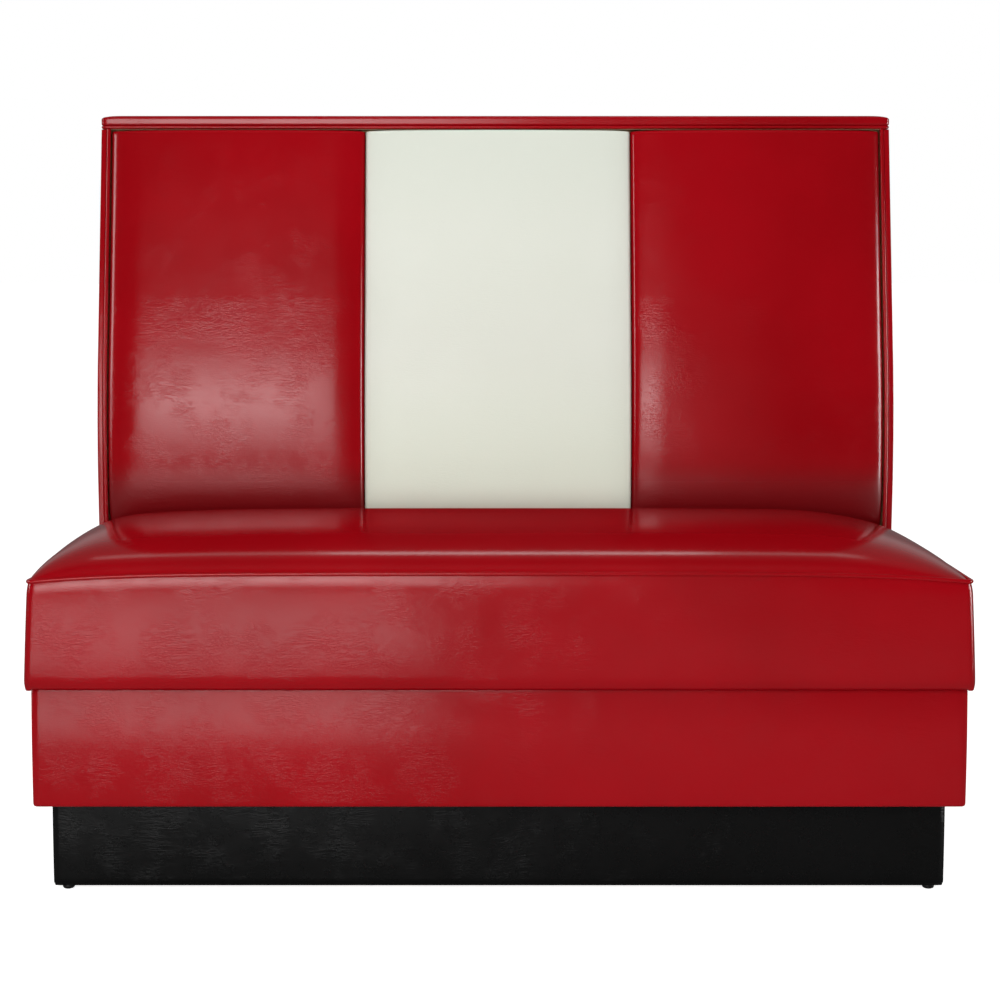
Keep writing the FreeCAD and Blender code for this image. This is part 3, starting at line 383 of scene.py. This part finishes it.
def makeWood(name, dark, light, along):
    material = bpy.data.materials.new(name)
    material.use_nodes = True
    tree = material.node_tree
    shader = tree.nodes["Principled BSDF"]
    grain = addNode(tree, "ShaderNodeGroup", node_tree=woodGrain)
    grain.inputs["Along"].default_value = along
    tone = addRange(tree, grain.outputs["Tone"], *woodSettings["toneFrom"])
    tree.links.new(addMix(tree, tone, dark, light), shader.inputs["Base Color"])
    rough = addRange(tree, grain.outputs["Tone"], 0.0, 1.0, *woodSettings["rough"])
    tree.links.new(rough, shader.inputs["Roughness"])
    addBump(tree, shader, grain.outputs["Height"], woodSettings["bump"], woodSettings["relief"])
    return material


pineDark, pineLight = (0.36, 0.2, 0.085, 1), (0.62, 0.41, 0.2, 1)
plyDark, plyLight = (0.33, 0.19, 0.09, 1), (0.52, 0.34, 0.18, 1)
alongX, alongY, alongZ = (0.05, 1.0, 1.0), (1.0, 0.05, 1.0), (1.0, 1.0, 0.05)
materials["pineAlongX"] = makeWood("pineAlongX", pineDark, pineLight, alongX)
materials["pineAlongY"] = makeWood("pineAlongY", pineDark, pineLight, alongY)
materials["pineAlongZ"] = makeWood("pineAlongZ", pineDark, pineLight, alongZ)
materials["plyAlongX"] = makeWood("plyAlongX", plyDark, plyLight, alongX)
materials["plyAlongZ"] = makeWood("plyAlongZ", plyDark, plyLight, alongZ)


# plain fibres and steel for what shows only from below or when the seat is out
fibreSettings = {"roughFrom": (0.2, 0.8), "roughRise": 0.08, "bump": 0.4, "relief": 0.0005}


def makeFibre(name, dark, light, scale, rough):
    look = fibreSettings
    material = bpy.data.materials.new(name)
    material.use_nodes = True
    tree = material.node_tree
    shader = tree.nodes["Principled BSDF"]
    place = addNode(tree, "ShaderNodeTexCoord").outputs["Object"]
    fibre = addNoise(tree, place, scale, 4.0, 0.7)
    tree.links.new(addMix(tree, fibre, dark, light), shader.inputs["Base Color"])
    roughness = addRange(tree, fibre, *look["roughFrom"], rough, rough + look["roughRise"])
    tree.links.new(roughness, shader.inputs["Roughness"])
    addBump(tree, shader, fibre, look["bump"], look["relief"])
    return material


materials["felt"] = makeFibre("felt", (0.2, 0.18, 0.16, 1), (0.34, 0.31, 0.27, 1), 600.0, 0.88)
materials["dustCloth"] = makeFibre("dustCloth", (0.006, 0.006, 0.007, 1), (0.02, 0.02, 0.022, 1), 1200.0, 0.8)
materials["glideBlack"] = makeFibre("glideBlack", (0.004, 0.004, 0.004, 1), (0.009, 0.009, 0.009, 1), 400.0, 0.3)
steel = makeFibre("springSteel", (0.24, 0.25, 0.27, 1), (0.38, 0.39, 0.41, 1), 500.0, 0.34)
steel.node_tree.nodes["Principled BSDF"].inputs["Metallic"].default_value = 1.0
materials["springSteel"] = steel
print("materials made")


# vertices of a box's outermost layers lie beyond this, and tiny steps count as none
rim = 0.499
tiny = 0.001


# box from -0.5 to 0.5 with its faces cut into a grid, a count of cuts for each axis
def cutBox(cuts):
    bm = bmesh.new()
    bmesh.ops.create_cube(bm, size=1.0)
    for axis, count in enumerate(cuts):
        along = []
        for edge in bm.edges:
            step = edge.verts[0].co - edge.verts[1].co
            others = [abs(step[other]) for other in range(3) if other != axis]
            if abs(step[axis]) > tiny and max(others) < tiny:
                along.append(edge)
        bmesh.ops.subdivide_edges(bm, edges=along, cuts=count, use_grid_fill=False)
    return bm


def makePiece(name, bm, material):
    mesh = bpy.data.meshes.new(name)
    bmesh.ops.recalc_face_normals(bm, faces=bm.faces)
    bm.to_mesh(mesh)
    bm.free()
    piece = bpy.data.objects.new(name, mesh)
    bpy.context.scene.collection.objects.link(piece)
    mesh.materials.append(materials[material])
    mesh.polygons.foreach_set("use_smooth", [True] * len(mesh.polygons))
    return piece


def settle(piece, body, slot, *replaced):
    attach(piece, body)
    if replaced:
        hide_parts(*replaced)
    return piece


def addSubdivision(piece):
    modifier = piece.modifiers.new("subdivision", "SUBSURF")
    modifier.levels = modifier.render_levels = 1


# square corner zone turned round, for a point of a level rectangle
def roundCorner(x, y, halfX, frontY, rearY, radius):
    centreY = (frontY + rearY) / 2
    halfY = (rearY - frontY) / 2
    innerX, innerY = halfX - radius, halfY - radius
    overX, overY = abs(x) - innerX, abs(y - centreY) - innerY
    if overX <= 0 or overY <= 0:
        return x, y
    a, b = min(overX / radius, 1), min(overY / radius, 1)
    newX = innerX + radius * a * math.sqrt(1 - b * b / 2)
    newY = innerY + radius * b * math.sqrt(1 - a * a / 2)
    return math.copysign(newX, x), centreY + math.copysign(newY, y - centreY)


# spreads points from -1 to 1 so that they crowd towards both ends
crowding = 1.5  # 1 would leave them even


def crowd(share):
    return math.copysign(1 - (1 - min(abs(share), 1.0)) ** crowding, share)


# quarter circle: from 0 to 1 as the share goes from 0 to 1, steep at its start
def arcRise(share):
    left = 1 - min(max(share, 0.0), 1.0)
    return math.sqrt(max(0.0, 1 - left * left))


# evens out the moves of a mesh's points, each with its neighbours
def evenOut(mesh, moves, rounds):
    pairs = np.array([tuple(edge.vertices) for edge in mesh.edges])
    count = np.bincount(pairs.ravel(), minlength=len(moves))[:, None]
    for turn in range(rounds):
        total = np.zeros_like(moves)
        np.add.at(total, pairs[:, 0], moves[pairs[:, 1]])
        np.add.at(total, pairs[:, 1], moves[pairs[:, 0]])
        moves = 0.5 * moves + 0.5 * total / count
    return moves


# air pressure on a stuffed piece: held points stay, the others move up to a limit
stuffing = {
    "quality": 4, "mass": 0.3, "tension_stiffness": 30, "compression_stiffness": 30, "shear_stiffness": 12,
    "bending_stiffness": 6, "use_pressure": True, "vertex_group_mass": "held",
}


def stuff(piece, heldTest, pressure, limit, rounds, frames=12):
    before = [vertex.co.copy() for vertex in piece.data.vertices]
    held = piece.vertex_groups.new(name="held")
    held.add([vertex.index for vertex in piece.data.vertices if heldTest(vertex.co)], 1.0, "REPLACE")
    cloth = piece.modifiers.new("cloth", "CLOTH")
    for key, setting in stuffing.items():
        setattr(cloth.settings, key, setting)
    cloth.settings.uniform_pressure_force = pressure
    cloth.settings.effector_weights.gravity = 0
    cloth.point_cache.frame_start = 1
    cloth.point_cache.frame_end = frames
    scene = bpy.context.scene
    for step in range(1, frames + 1):
        scene.frame_set(step)
    graph = bpy.context.evaluated_depsgraph_get()
    after = [vertex.co.copy() for vertex in piece.evaluated_get(graph).data.vertices]
    piece.modifiers.remove(cloth)
    piece.vertex_groups.remove(held)
    moves = np.array([finish - start for start, finish in zip(before, after)])
    lengths = np.linalg.norm(moves, axis=1)
    print(f"{piece.name} stuffed: middle move {np.median(lengths) / mm:.2f} mm, most {lengths.max() / mm:.2f} mm")
    moves *= np.minimum(1, limit / np.maximum(lengths, 1e-9))[:, None]
    moves = evenOut(piece.data, moves, rounds)
    for vertex, start, move in zip(piece.data.vertices, before, moves):
        vertex.co = start + Vector(move)
    scene.frame_set(1)


# back channels: their line is upright, bends back and goes on straight
backLine = {
    "faceY": 140.5 * mm, "bendZ": 484 * mm, "radius": 1.1, "tilt": math.radians(11.6),
    "bottomZ": 437 * mm, "topZ": 1037.6 * mm,
}
channel = {
    "ends": 585.6 * mm, "leftSeam": -198.3 * mm, "rightSeam": 205.9 * mm, "gap": 0.4 * mm,
    "rear": -17.4 * mm, "edge": -3.6 * mm, "low": -13 * mm,
    "rollWidth": 48 * mm, "rollDepth": 9.5 * mm, "crown": 6.5 * mm, "sideRoll": 5 * mm, "bottomRoll": 72 * mm,
    "topRoll": 4.5 * mm, "sideRise": 2 * mm, "cuts": (44, 2, 60),
    "pressure": 1.0, "limit": 1.2 * mm, "rounds": 60, "heldSide": 0.5 * mm, "heldBehind": 11 * mm,
}


# place on the back's line at a length from its foot, and how far the line leans there
def backPlace(length):
    upright = backLine["bendZ"] - backLine["bottomZ"]
    if length <= upright:
        return Vector((0, backLine["faceY"], backLine["bottomZ"] + length)), 0.0
    radius = backLine["radius"]
    angle = min((length - upright) / radius, backLine["tilt"])
    place = Vector((
        0, backLine["faceY"] + radius * (1 - math.cos(angle)), backLine["bendZ"] + radius * math.sin(angle),
    ))
    beyond = length - upright - radius * angle
    return place + Vector((0, math.sin(angle), math.cos(angle))) * beyond, angle


def backLength():
    upright = backLine["bendZ"] - backLine["bottomZ"]
    bend = backLine["radius"] * backLine["tilt"]
    bendTop = backLine["bendZ"] + backLine["radius"] * math.sin(backLine["tilt"])
    slope = (backLine["topZ"] - bendTop) / math.cos(backLine["tilt"])
    return upright + bend + slope


# how far a channel's face stands before the back's line
def channelDepth(x, half, length, total):
    fromSide = half - abs(x)
    depth = channel["edge"] + channel["rollDepth"] * arcRise(fromSide / channel["rollWidth"])
    depth += channel["crown"] * (1 - (x / half) ** 2)
    depth += channel["sideRise"] * arcRise(fromSide / channel["sideRoll"])
    swell = arcRise(length / channel["bottomRoll"]) * arcRise((total - length) / channel["topRoll"])
    return channel["low"] + (depth - channel["low"]) * swell


def makeChannel(side, leftX, rightX, material, slot):
    bm = cutBox(channel["cuts"])
    total = backLength()
    place, half = (leftX + rightX) / 2, (rightX - leftX) / 2
    for vertex in bm.verts:
        u, w, v = vertex.co
        x = half * crowd(2 * u)
        length = total * (0.5 + 0.5 * crowd(2 * v))
        ground, tilt = backPlace(length)
        outward = Vector((0, -math.cos(tilt), math.sin(tilt)))
        front = channelDepth(x, half, length, total)
        depth = front + (channel["rear"] - front) * (w + 0.5)
        vertex.co = ground + outward * depth + Vector((x + place, 0, 0))
    piece = makePiece(f"{side}ChannelPad", bm, material)

    def isHeld(point):
        if abs(abs(point.x - place) - half) < channel["heldSide"]:
            return True
        ground, tilt = backPlace(max(point.z - backLine["bottomZ"], 0))
        return point.y > ground.y + channel["heldBehind"]

    stuff(piece, isHeld, channel["pressure"], channel["limit"], channel["rounds"])
    addSubdivision(piece)
    return settle(piece, "frame", slot, f"{side}_channel_cover", f"{side}_channel_foam")


leftSeam, rightSeam, gap = channel["leftSeam"], channel["rightSeam"], channel["gap"]
makeChannel("left", -channel["ends"], leftSeam - gap, "channelVinyl", "red_vinyl")
makeChannel("centre", leftSeam + gap, rightSeam - gap, "whiteVinyl", "white_vinyl")
makeChannel("right", rightSeam + gap, channel["ends"], "channelVinyl", "red_vinyl")
print("back channels made")


# seat: a boxing band that draws in to the welt, and a crown that swells over it at the ends
seat = {
    "halfX": 612.5 * mm, "frontY": -317.5 * mm, "rearY": 139.5 * mm, "bottomZ": 288.3 * mm, "bandTopZ": 434.5 * mm,
    "draw": 6.4 * mm, "corner": 11 * mm, "curl": 8 * mm, "frontCurl": 3.5 * mm, "sideCurl": 2 * mm,
    "topRoll": 1.6 * mm, "barrel": 1.4 * mm, "rise": 45.1 * mm, "leftRun": 80 * mm, "rightRun": 188.8 * mm,
    "leftPower": 0.355, "rightPower": 0.559, "sideFall": 1.828,
    "frontPower": 0.575, "frontFall": 2.8, "rearPower": 0.189,
    "cuts": (110, 44, 14), "pressure": 1.5, "limit": 1.5 * mm, "rounds": 20, "heldAbove": 1.5 * mm,
    "hang": 2.1 * mm, "hangEnd": 100 * mm,
}
seatSag = {
    "middle": 1.5 * mm, "corner": -9.3 * mm, "left": -16 * mm, "right": -8.2 * mm,
    "cornerRun": 150 * mm, "fade": 110 * mm, "fadePower": 1.2,
}
seatHollow = {
    "halfX": 602 * mm, "frontY": -310 * mm, "rearY": 132 * mm, "topZ": 365.7 * mm,
    "reach": 4.5 * mm, "wall": 0.3 * mm,
}


# how far the welt line stands above its mean: it sags to the corners and the ends
def weltLift(x, y):
    share = min(max((y - seat["frontY"]) / seatSag["cornerRun"], 0.0), 1.0)
    share = share * share * (3 - 2 * share)
    end = seatSag["left"] if x < 0 else seatSag["right"]
    level = seatSag["corner"] + (end - seatSag["corner"]) * share
    fromSide = max(0.0, seat["halfX"] - abs(x))
    near = math.exp(-(fromSide / seatSag["fade"]) ** seatSag["fadePower"])
    return seatSag["middle"] + (level - seatSag["middle"]) * near


# how far the band lies inside its widest line, at a share of its height, with a given curl at its foot
def bandInset(share, curl, barrel):
    height = seat["bandTopZ"] - seat["bottomZ"]
    z = share * height
    inset = seat["draw"] * share - barrel * 4 * share * (1 - share)
    inset += curl * (1 - arcRise(z / seat["curl"]))
    return inset + seat["topRoll"] * (1 - arcRise((height - z) / seat["topRoll"]))


# the crown swells quickly at the left end, slowly at the right, and rolls over at the front
def crownHeight(x, y, halfX, frontY, rearY):
    run, power = (seat["leftRun"], seat["leftPower"]) if x < 0 else (seat["rightRun"], seat["rightPower"])
    inset = min(max(0.0, halfX - abs(x)) / run, 1.0)
    side = (1 - (1 - inset) ** seat["sideFall"]) ** power
    share = min(max((y - frontY) / (rearY - frontY), 0.0), 1.0)
    if share < 0.5:
        along = (1 - (1 - 2 * share) ** seat["frontFall"]) ** seat["frontPower"]
    else:
        along = (4 * share * (1 - share)) ** seat["rearPower"]
    return seat["rise"] * side * along


# a coordinate near the hollow's wall is moved onto it, just inside or just outside
def toWall(value, wall, inwards):
    beyond = (value - wall) * inwards
    if 0 <= beyond < seatHollow["reach"]:
        return wall
    if -seatHollow["reach"] < beyond < 0:
        return wall - inwards * seatHollow["wall"]
    return value


# the underside: open in the middle for the frame and springs
def shapeUnderside(x, y):
    hollow = seatHollow
    x = math.copysign(toWall(abs(x), hollow["halfX"], -1), x)
    y = toWall(toWall(y, hollow["frontY"], 1), hollow["rearY"], -1)
    inside = abs(x) <= hollow["halfX"] and hollow["frontY"] <= y <= hollow["rearY"]
    return x, y, hollow["topZ"] if inside else seat["bottomZ"]


def makeSeat():
    bm = cutBox(seat["cuts"])
    for vertex in bm.verts:
        u, v, w = vertex.co
        share = w + 0.5
        insetX = bandInset(share, seat["sideCurl"], 0.0)
        insetY = bandInset(share, seat["frontCurl"], seat["barrel"])
        halfX = seat["halfX"] - insetX
        frontY, rearY = seat["frontY"] + insetY, seat["rearY"] - insetY
        x = crowd(2 * u) * halfX
        y = (frontY + rearY) / 2 + crowd(2 * v) * (rearY - frontY) / 2
        x, y = roundCorner(x, y, halfX, frontY, rearY, seat["corner"])
        z = seat["bottomZ"] + share * (seat["bandTopZ"] - seat["bottomZ"] + weltLift(x, y))
        if w > rim:
            z += crownHeight(x, y, halfX, frontY, rearY)
        if w < -rim:
            x, y, z = shapeUnderside(x, y)
        if z < seatHollow["topZ"] - tiny and y < seat["hangEnd"]:
            z -= seat["hang"] * (1 - share) ** 2
        vertex.co = (x, y, z)
    piece = makePiece("seatCushion", bm, "seatVinyl")

    def isHeld(point):
        return point.z < seat["bandTopZ"] + weltLift(point.x, point.y) + seat["heldAbove"]

    stuff(piece, isHeld, seat["pressure"], seat["limit"], seat["rounds"])
    addSubdivision(piece)
    return settle(piece, "seat", "red_vinyl", "seat_cover", "seat_foam")


makeSeat()


# felt over the springs, its upper side a little uneven, and the cloth under the seat frame, a little slack
layerWaves = {"across": 22, "high": 50}


def makeSeatLayer(name, node, material, slot, cuts, bulge, wave):
    low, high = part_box(node)
    bm = cutBox(cuts)
    middle, half = (low + high) / 2, (high - low) / 2
    for vertex in bm.verts:
        u, v, w = (2 * part for part in vertex.co)
        x, y = middle.x + half.x * u, middle.y + half.y * v
        slack = (1 - u ** 4) * (1 - v * v)
        wavePlace = Vector((x * layerWaves["across"], y * layerWaves["across"], low.z * layerWaves["high"]))
        uneven = wave * noise.noise(wavePlace)
        z = middle.z + half.z * w + bulge * slack + uneven * slack * (1 if w > 0 or bulge else 0)
        vertex.co = (x, y, z)
    return settle(makePiece(name, bm, material), "seat", slot, node)


layer = makeSeatLayer("springFelt", "spring_pad", "felt", "felt", (96, 36, 1), 0, 0.4 * mm)
layer = makeSeatLayer("dustCloth", "seat_dust_cover", "dustCloth", "dust_cloth", (72, 28, 1), -2.5 * mm, 0.6 * mm)
print("seat made")


# piping: a round cord along a closed or open line of points
def makePiping(name, points, radius, closed, material, body, replaced):
    line = bpy.data.curves.new(name, "CURVE")
    line.dimensions = "3D"
    line.bevel_depth = radius
    line.bevel_resolution = 4
    line.use_fill_caps = True
    spline = line.splines.new("POLY")
    spline.points.add(len(points) - 1)
    for point, place in zip(spline.points, points):
        point.co = (*place, 1)
    spline.use_cyclic_u = closed
    shaped = bpy.data.objects.new(name + "Line", line)
    bpy.context.scene.collection.objects.link(shaped)
    bpy.context.view_layer.update()
    mesh = bpy.data.meshes.new_from_object(shaped.evaluated_get(bpy.context.evaluated_depsgraph_get()))
    bpy.data.objects.remove(shaped)
    mesh.name = name
    mesh.materials.clear()
    mesh.materials.append(materials[material])
    mesh.polygons.foreach_set("use_smooth", [True] * len(mesh.polygons))
    piece = bpy.data.objects.new(name, mesh)
    bpy.context.scene.collection.objects.link(piece)
    return settle(piece, body, "red_vinyl", replaced)


# points of a level rectangle with round corners, each at the height that heightAt gives
def loopPoints(halfX, frontY, rearY, radius, heightAt, step=8 * mm):
    corners = ((halfX, rearY, 0), (-halfX, rearY, 90), (-halfX, frontY, 180), (halfX, frontY, 270))
    outline = []
    for x, y, start in corners:
        centreX = x - math.copysign(radius, x)
        centreY = y - radius if start in (0, 90) else y + radius
        for turn in range(0, 91, 15):
            angle = math.radians(start + turn)
            outline.append((centreX + radius * math.cos(angle), centreY + radius * math.sin(angle)))
    points = []
    for index, (x, y) in enumerate(outline):
        nextX, nextY = outline[(index + 1) % len(outline)]
        count = max(1, round(math.hypot(nextX - x, nextY - y) / step))
        for part in range(count):
            share = part / count
            px, py = x + (nextX - x) * share, y + (nextY - y) * share
            points.append((px, py, heightAt(px, py)))
    return points


seatPiping = {"radius": 2.9 * mm, "inset": 8.9 * mm, "corner": 6.5 * mm, "centreZ": 436.6 * mm}
loop = loopPoints(
    seat["halfX"] - seatPiping["inset"], seat["frontY"] + seatPiping["inset"],
    seat["rearY"] - seatPiping["inset"], seatPiping["corner"],
    lambda x, y: seatPiping["centreZ"] + weltLift(x, y),
)
makePiping("seatPiping", loop, seatPiping["radius"], True, "seatVinyl", "seat", "seat_welt")

capPiping = {
    "radius": 2.7 * mm, "halfX": 598.8 * mm, "frontY": 231.6 * mm, "rearY": 314.6 * mm, "corner": 4 * mm,
    "centreZ": 1041.2 * mm,
}
loop = loopPoints(
    capPiping["halfX"], capPiping["frontY"], capPiping["rearY"], capPiping["corner"],
    lambda x, y: capPiping["centreZ"],
)
makePiping("capPiping", loop, capPiping["radius"], True, "redVinyl", "frame", "cap_welt")

endPiping = {
    "radius": 3.3 * mm, "depth": -1.6 * mm, "startZ": 358 * mm, "over": 0.6 * mm, "placeX": 590 * mm, "steps": 90,
}
for side, sign in (("left", -1), ("right", 1)):
    points = []
    low = endPiping["startZ"] - backLine["bottomZ"]
    for index in range(endPiping["steps"] + 1):
        length = low + (backLength() + endPiping["over"] - low) * index / endPiping["steps"]
        ground, tilt = backPlace(length)
        outward = Vector((0, -math.cos(tilt), math.sin(tilt)))
        points.append(tuple(ground + outward * endPiping["depth"] + Vector((sign * endPiping["placeX"], 0, 0))))
    makePiping(f"{side}EndPiping", points, endPiping["radius"], False, "redVinyl", "frame", f"{side}_end_welt")
print("piping made")


# cap: a thin stuffed pad with rolled edges and a slight crown
cap = {
    "halfX": 601.6 * mm, "frontY": 228.9 * mm, "rearY": 317.5 * mm, "bottomZ": 1043.6 * mm, "topZ": 1055.7 * mm,
    "crown": 4 * mm, "crownRun": 26 * mm, "roll": 3 * mm, "underInset": 1.05 * mm, "underRoll": 1.5 * mm,
    "corner": 4 * mm, "cuts": (180, 14, 6),
}


def makeCap():
    bm = cutBox(cap["cuts"])
    height = cap["topZ"] - cap["bottomZ"]
    for vertex in bm.verts:
        u, v, w = vertex.co
        share = w + 0.5
        z = share * height
        inset = cap["roll"] * (1 - arcRise((height - z) / cap["roll"]))
        inset += cap["underInset"] * (1 - arcRise(z / cap["underRoll"]))
        halfX = cap["halfX"] - inset
        frontY, rearY = cap["frontY"] + inset, cap["rearY"] - inset
        x = 2 * u * halfX
        y = (frontY + rearY) / 2 + v * (rearY - frontY)
        x, y = roundCorner(x, y, halfX, frontY, rearY, cap["corner"])
        across = arcRise((halfX - abs(x)) / cap["crownRun"])
        deep = 1 - ((y - (frontY + rearY) / 2) / ((rearY - frontY) / 2)) ** 2
        z += share * cap["crown"] * across * (0.5 + 0.5 * max(deep, 0) ** 0.5)
        vertex.co = (x, y, cap["bottomZ"] + z)
    piece = makePiece("capPad", bm, "redVinyl")
    addSubdivision(piece)
    return settle(piece, "frame", "red_vinyl", "cap_pad")


makeCap()


# skirt: vinyl over a board, fuller towards its lower edge, with a fold along its hem and ends
skirt = {
    "halfX": 605.5 * mm, "frontY": -305.8 * mm, "rearY": -292.3 * mm, "bottomZ": 131 * mm, "topZ": 287.9 * mm,
    "lean": 9 * mm, "leanPower": 2.2, "roll": 2.2 * mm, "corner": 3 * mm, "cuts": (200, 4, 44),
    "hemUp": 3.8 * mm, "hemIn": 5 * mm, "hemDepth": 0.7 * mm, "hemWidth": 1.1 * mm,
    "crowdAcross": 0.2, "crowdUp": 0.25,
}


def makeSkirt():
    bm = cutBox(skirt["cuts"])
    height = skirt["topZ"] - skirt["bottomZ"]
    for vertex in bm.verts:
        u, v, w = vertex.co
        across = (1 - skirt["crowdAcross"]) * 2 * u + skirt["crowdAcross"] * math.sin(math.pi * u)
        share = w + 0.5
        share = (1 - skirt["crowdUp"]) * share + skirt["crowdUp"] * (0.5 - 0.5 * math.cos(math.pi * share))
        z = share * height
        edge = skirt["roll"] * (1 - arcRise(z / skirt["roll"]) + 1 - arcRise((height - z) / skirt["roll"]))
        halfX = skirt["halfX"] - edge
        x = across * halfX
        frontY = skirt["frontY"] + edge + skirt["lean"] * share ** skirt["leanPower"]
        y = frontY + (v + 0.5) * (skirt["rearY"] - frontY)
        if v < -rim:
            fromEnd = skirt["halfX"] - abs(x)
            fold = math.exp(-((z - skirt["hemUp"]) / skirt["hemWidth"]) ** 2)
            fold = max(fold, math.exp(-((fromEnd - skirt["hemIn"]) / skirt["hemWidth"]) ** 2))
            y += skirt["hemDepth"] * fold + skirt["corner"] * (1 - arcRise(fromEnd / skirt["corner"]))
        vertex.co = (x, y, skirt["bottomZ"] + z)
    piece = makePiece("skirtPanel", bm, "redVinyl")
    addSubdivision(piece)
    return settle(piece, "frame", "red_vinyl", "skirt_cover", "skirt_board")


makeSkirt()


# base: black vinyl round the four boards
kick = {
    "halfX": 594.8 * mm, "frontY": -245 * mm, "rearY": 307.5 * mm, "bottomZ": 7 * mm, "topZ": 131 * mm,
    "bulge": 4 * mm, "corner": 3 * mm, "wall": 1.4 * mm, "roll": 1.6 * mm, "cuts": (120, 54, 22),
}


def makeKick():
    bm = cutBox(kick["cuts"])
    caps = [face for face in bm.faces if abs(face.calc_center_median().z) > rim]
    bmesh.ops.delete(bm, geom=caps, context="FACES")
    height = kick["topZ"] - kick["bottomZ"]
    for vertex in bm.verts:
        u, v, w = vertex.co
        share = w + 0.5
        z = share * height
        edge = kick["roll"] * (1 - arcRise(z / kick["roll"]))
        halfX = kick["halfX"] - edge
        frontY = kick["frontY"] + edge - kick["bulge"] * (1 - share ** 2)
        rearY = kick["rearY"] - edge
        x = 2 * u * halfX
        y = (frontY + rearY) / 2 + v * (rearY - frontY)
        x, y = roundCorner(x, y, halfX, frontY, rearY, kick["corner"])
        vertex.co = (x, y, kick["bottomZ"] + z)
    piece = makePiece("toeKickCover", bm, "blackVinyl")
    wall = piece.modifiers.new("wall", "SOLIDIFY")
    wall.thickness = kick["wall"]
    wall.offset = -1
    return settle(piece, "frame", "black_vinyl", "toe_kick_cover")


makeKick()
print("cap, skirt and base made")


# covers whose CAD form is right: a merged copy with softened edges
softEdge = {"merge": 0.02 * mm, "level": math.radians(1.5), "sharp": math.radians(35)}


def softenedCopy(name, node, material, slot, body, width, segments=3):
    bm = bmesh.new()
    bm.from_mesh(nodes[node].data)
    bmesh.ops.remove_doubles(bm, verts=bm.verts, dist=softEdge["merge"])
    bmesh.ops.dissolve_limit(bm, angle_limit=softEdge["level"], verts=bm.verts, edges=bm.edges)
    piece = makePiece(name, bm, material)
    bevel = piece.modifiers.new("softEdge", "BEVEL")
    bevel.width = width
    bevel.segments = segments
    bevel.limit_method = "ANGLE"
    bevel.angle_limit = softEdge["sharp"]
    bevel.harden_normals = True
    return settle(piece, body, slot, node)


for side in ("left", "right"):
    cover = softenedCopy(f"{side}EndCover", f"{side}_end_cover", "redVinyl", "red_vinyl", "frame", 1.1 * mm)
cover = softenedCopy("outsideBackCover", "outside_back_cover", "redVinyl", "red_vinyl", "frame", 0.7 * mm, 2)


# glides: a turned dome on a nail
glide = {
    "radius": 8 * mm, "height": 7 * mm, "flat": 5 * mm, "dome": 3 * mm, "edge": 0.4 * mm,
    "nail": 1.2 * mm, "nailTop": 23 * mm, "merge": 0.01 * mm,
}


def makeGlides():
    bm = bmesh.new()
    profile = [(0, 0), (glide["flat"], 0)]
    for turn in range(15, 91, 15):
        angle = math.radians(turn)
        profile.append((glide["flat"] + glide["dome"] * math.sin(angle), glide["dome"] * (1 - math.cos(angle))))
    profile += [
        (glide["radius"], glide["height"] - glide["edge"]), (glide["radius"] - glide["edge"], glide["height"]),
        (glide["nail"], glide["height"]), (glide["nail"], glide["nailTop"]), (0, glide["nailTop"]),
    ]
    low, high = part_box("glides")
    frontY, rearY = low.y + glide["radius"], high.y - glide["radius"]
    for x in (low.x + glide["radius"], high.x - glide["radius"]):
        for y in (frontY, rearY):
            line = [bm.verts.new((x + r, y, z)) for r, z in profile]
            edges = [bm.edges.new(pair) for pair in zip(line, line[1:])]
            bmesh.ops.spin(
                bm, geom=line + edges, cent=(x, y, 0), axis=(0, 0, 1), angle=math.tau, steps=32, use_merge=True,
            )
    bmesh.ops.remove_doubles(bm, verts=bm.verts, dist=glide["merge"])
    piece = makePiece("domeGlides", bm, "glideBlack")
    return settle(piece, "frame", "glide_steel", "glides")


makeGlides()

# finishes of the nodes that keep their CAD mesh
finishes = {
    "pineAlongX": [
        "top_back_rail", "middle_back_rail", "bottom_rear_rail", "lumbar_rail", "seat_ledger",
        "front_seat_rail", "bottom_front_rail", "toe_kick_front", "toe_kick_rear", "seat_front_rail",
        "seat_rear_rail", "seat_locating_blocks",
    ],
    "pineAlongY": [
        "left_bottom_cleat", "right_bottom_cleat", "toe_kick_left", "toe_kick_right", "seat_left_rail",
        "seat_right_rail", "seat_corner_blocks",
    ],
    "pineAlongZ": ["left_end_rib", "left_seam_rib", "right_seam_rib", "right_end_rib", "toe_kick_blocks"],
    "plyAlongX": ["cap_board", "outside_back_panel"],
    "plyAlongZ": [
        "left_end_panel", "right_end_panel", "left_channel_board", "centre_channel_board", "right_channel_board",
    ],
    "springSteel": ["zigzag_springs", "spring_clips"],
}
for finish, members in finishes.items():
    for member in members:
        mesh = nodes[member].data
        mesh.materials.clear()
        mesh.materials.append(materials[finish])
print("finishes given to the CAD nodes")
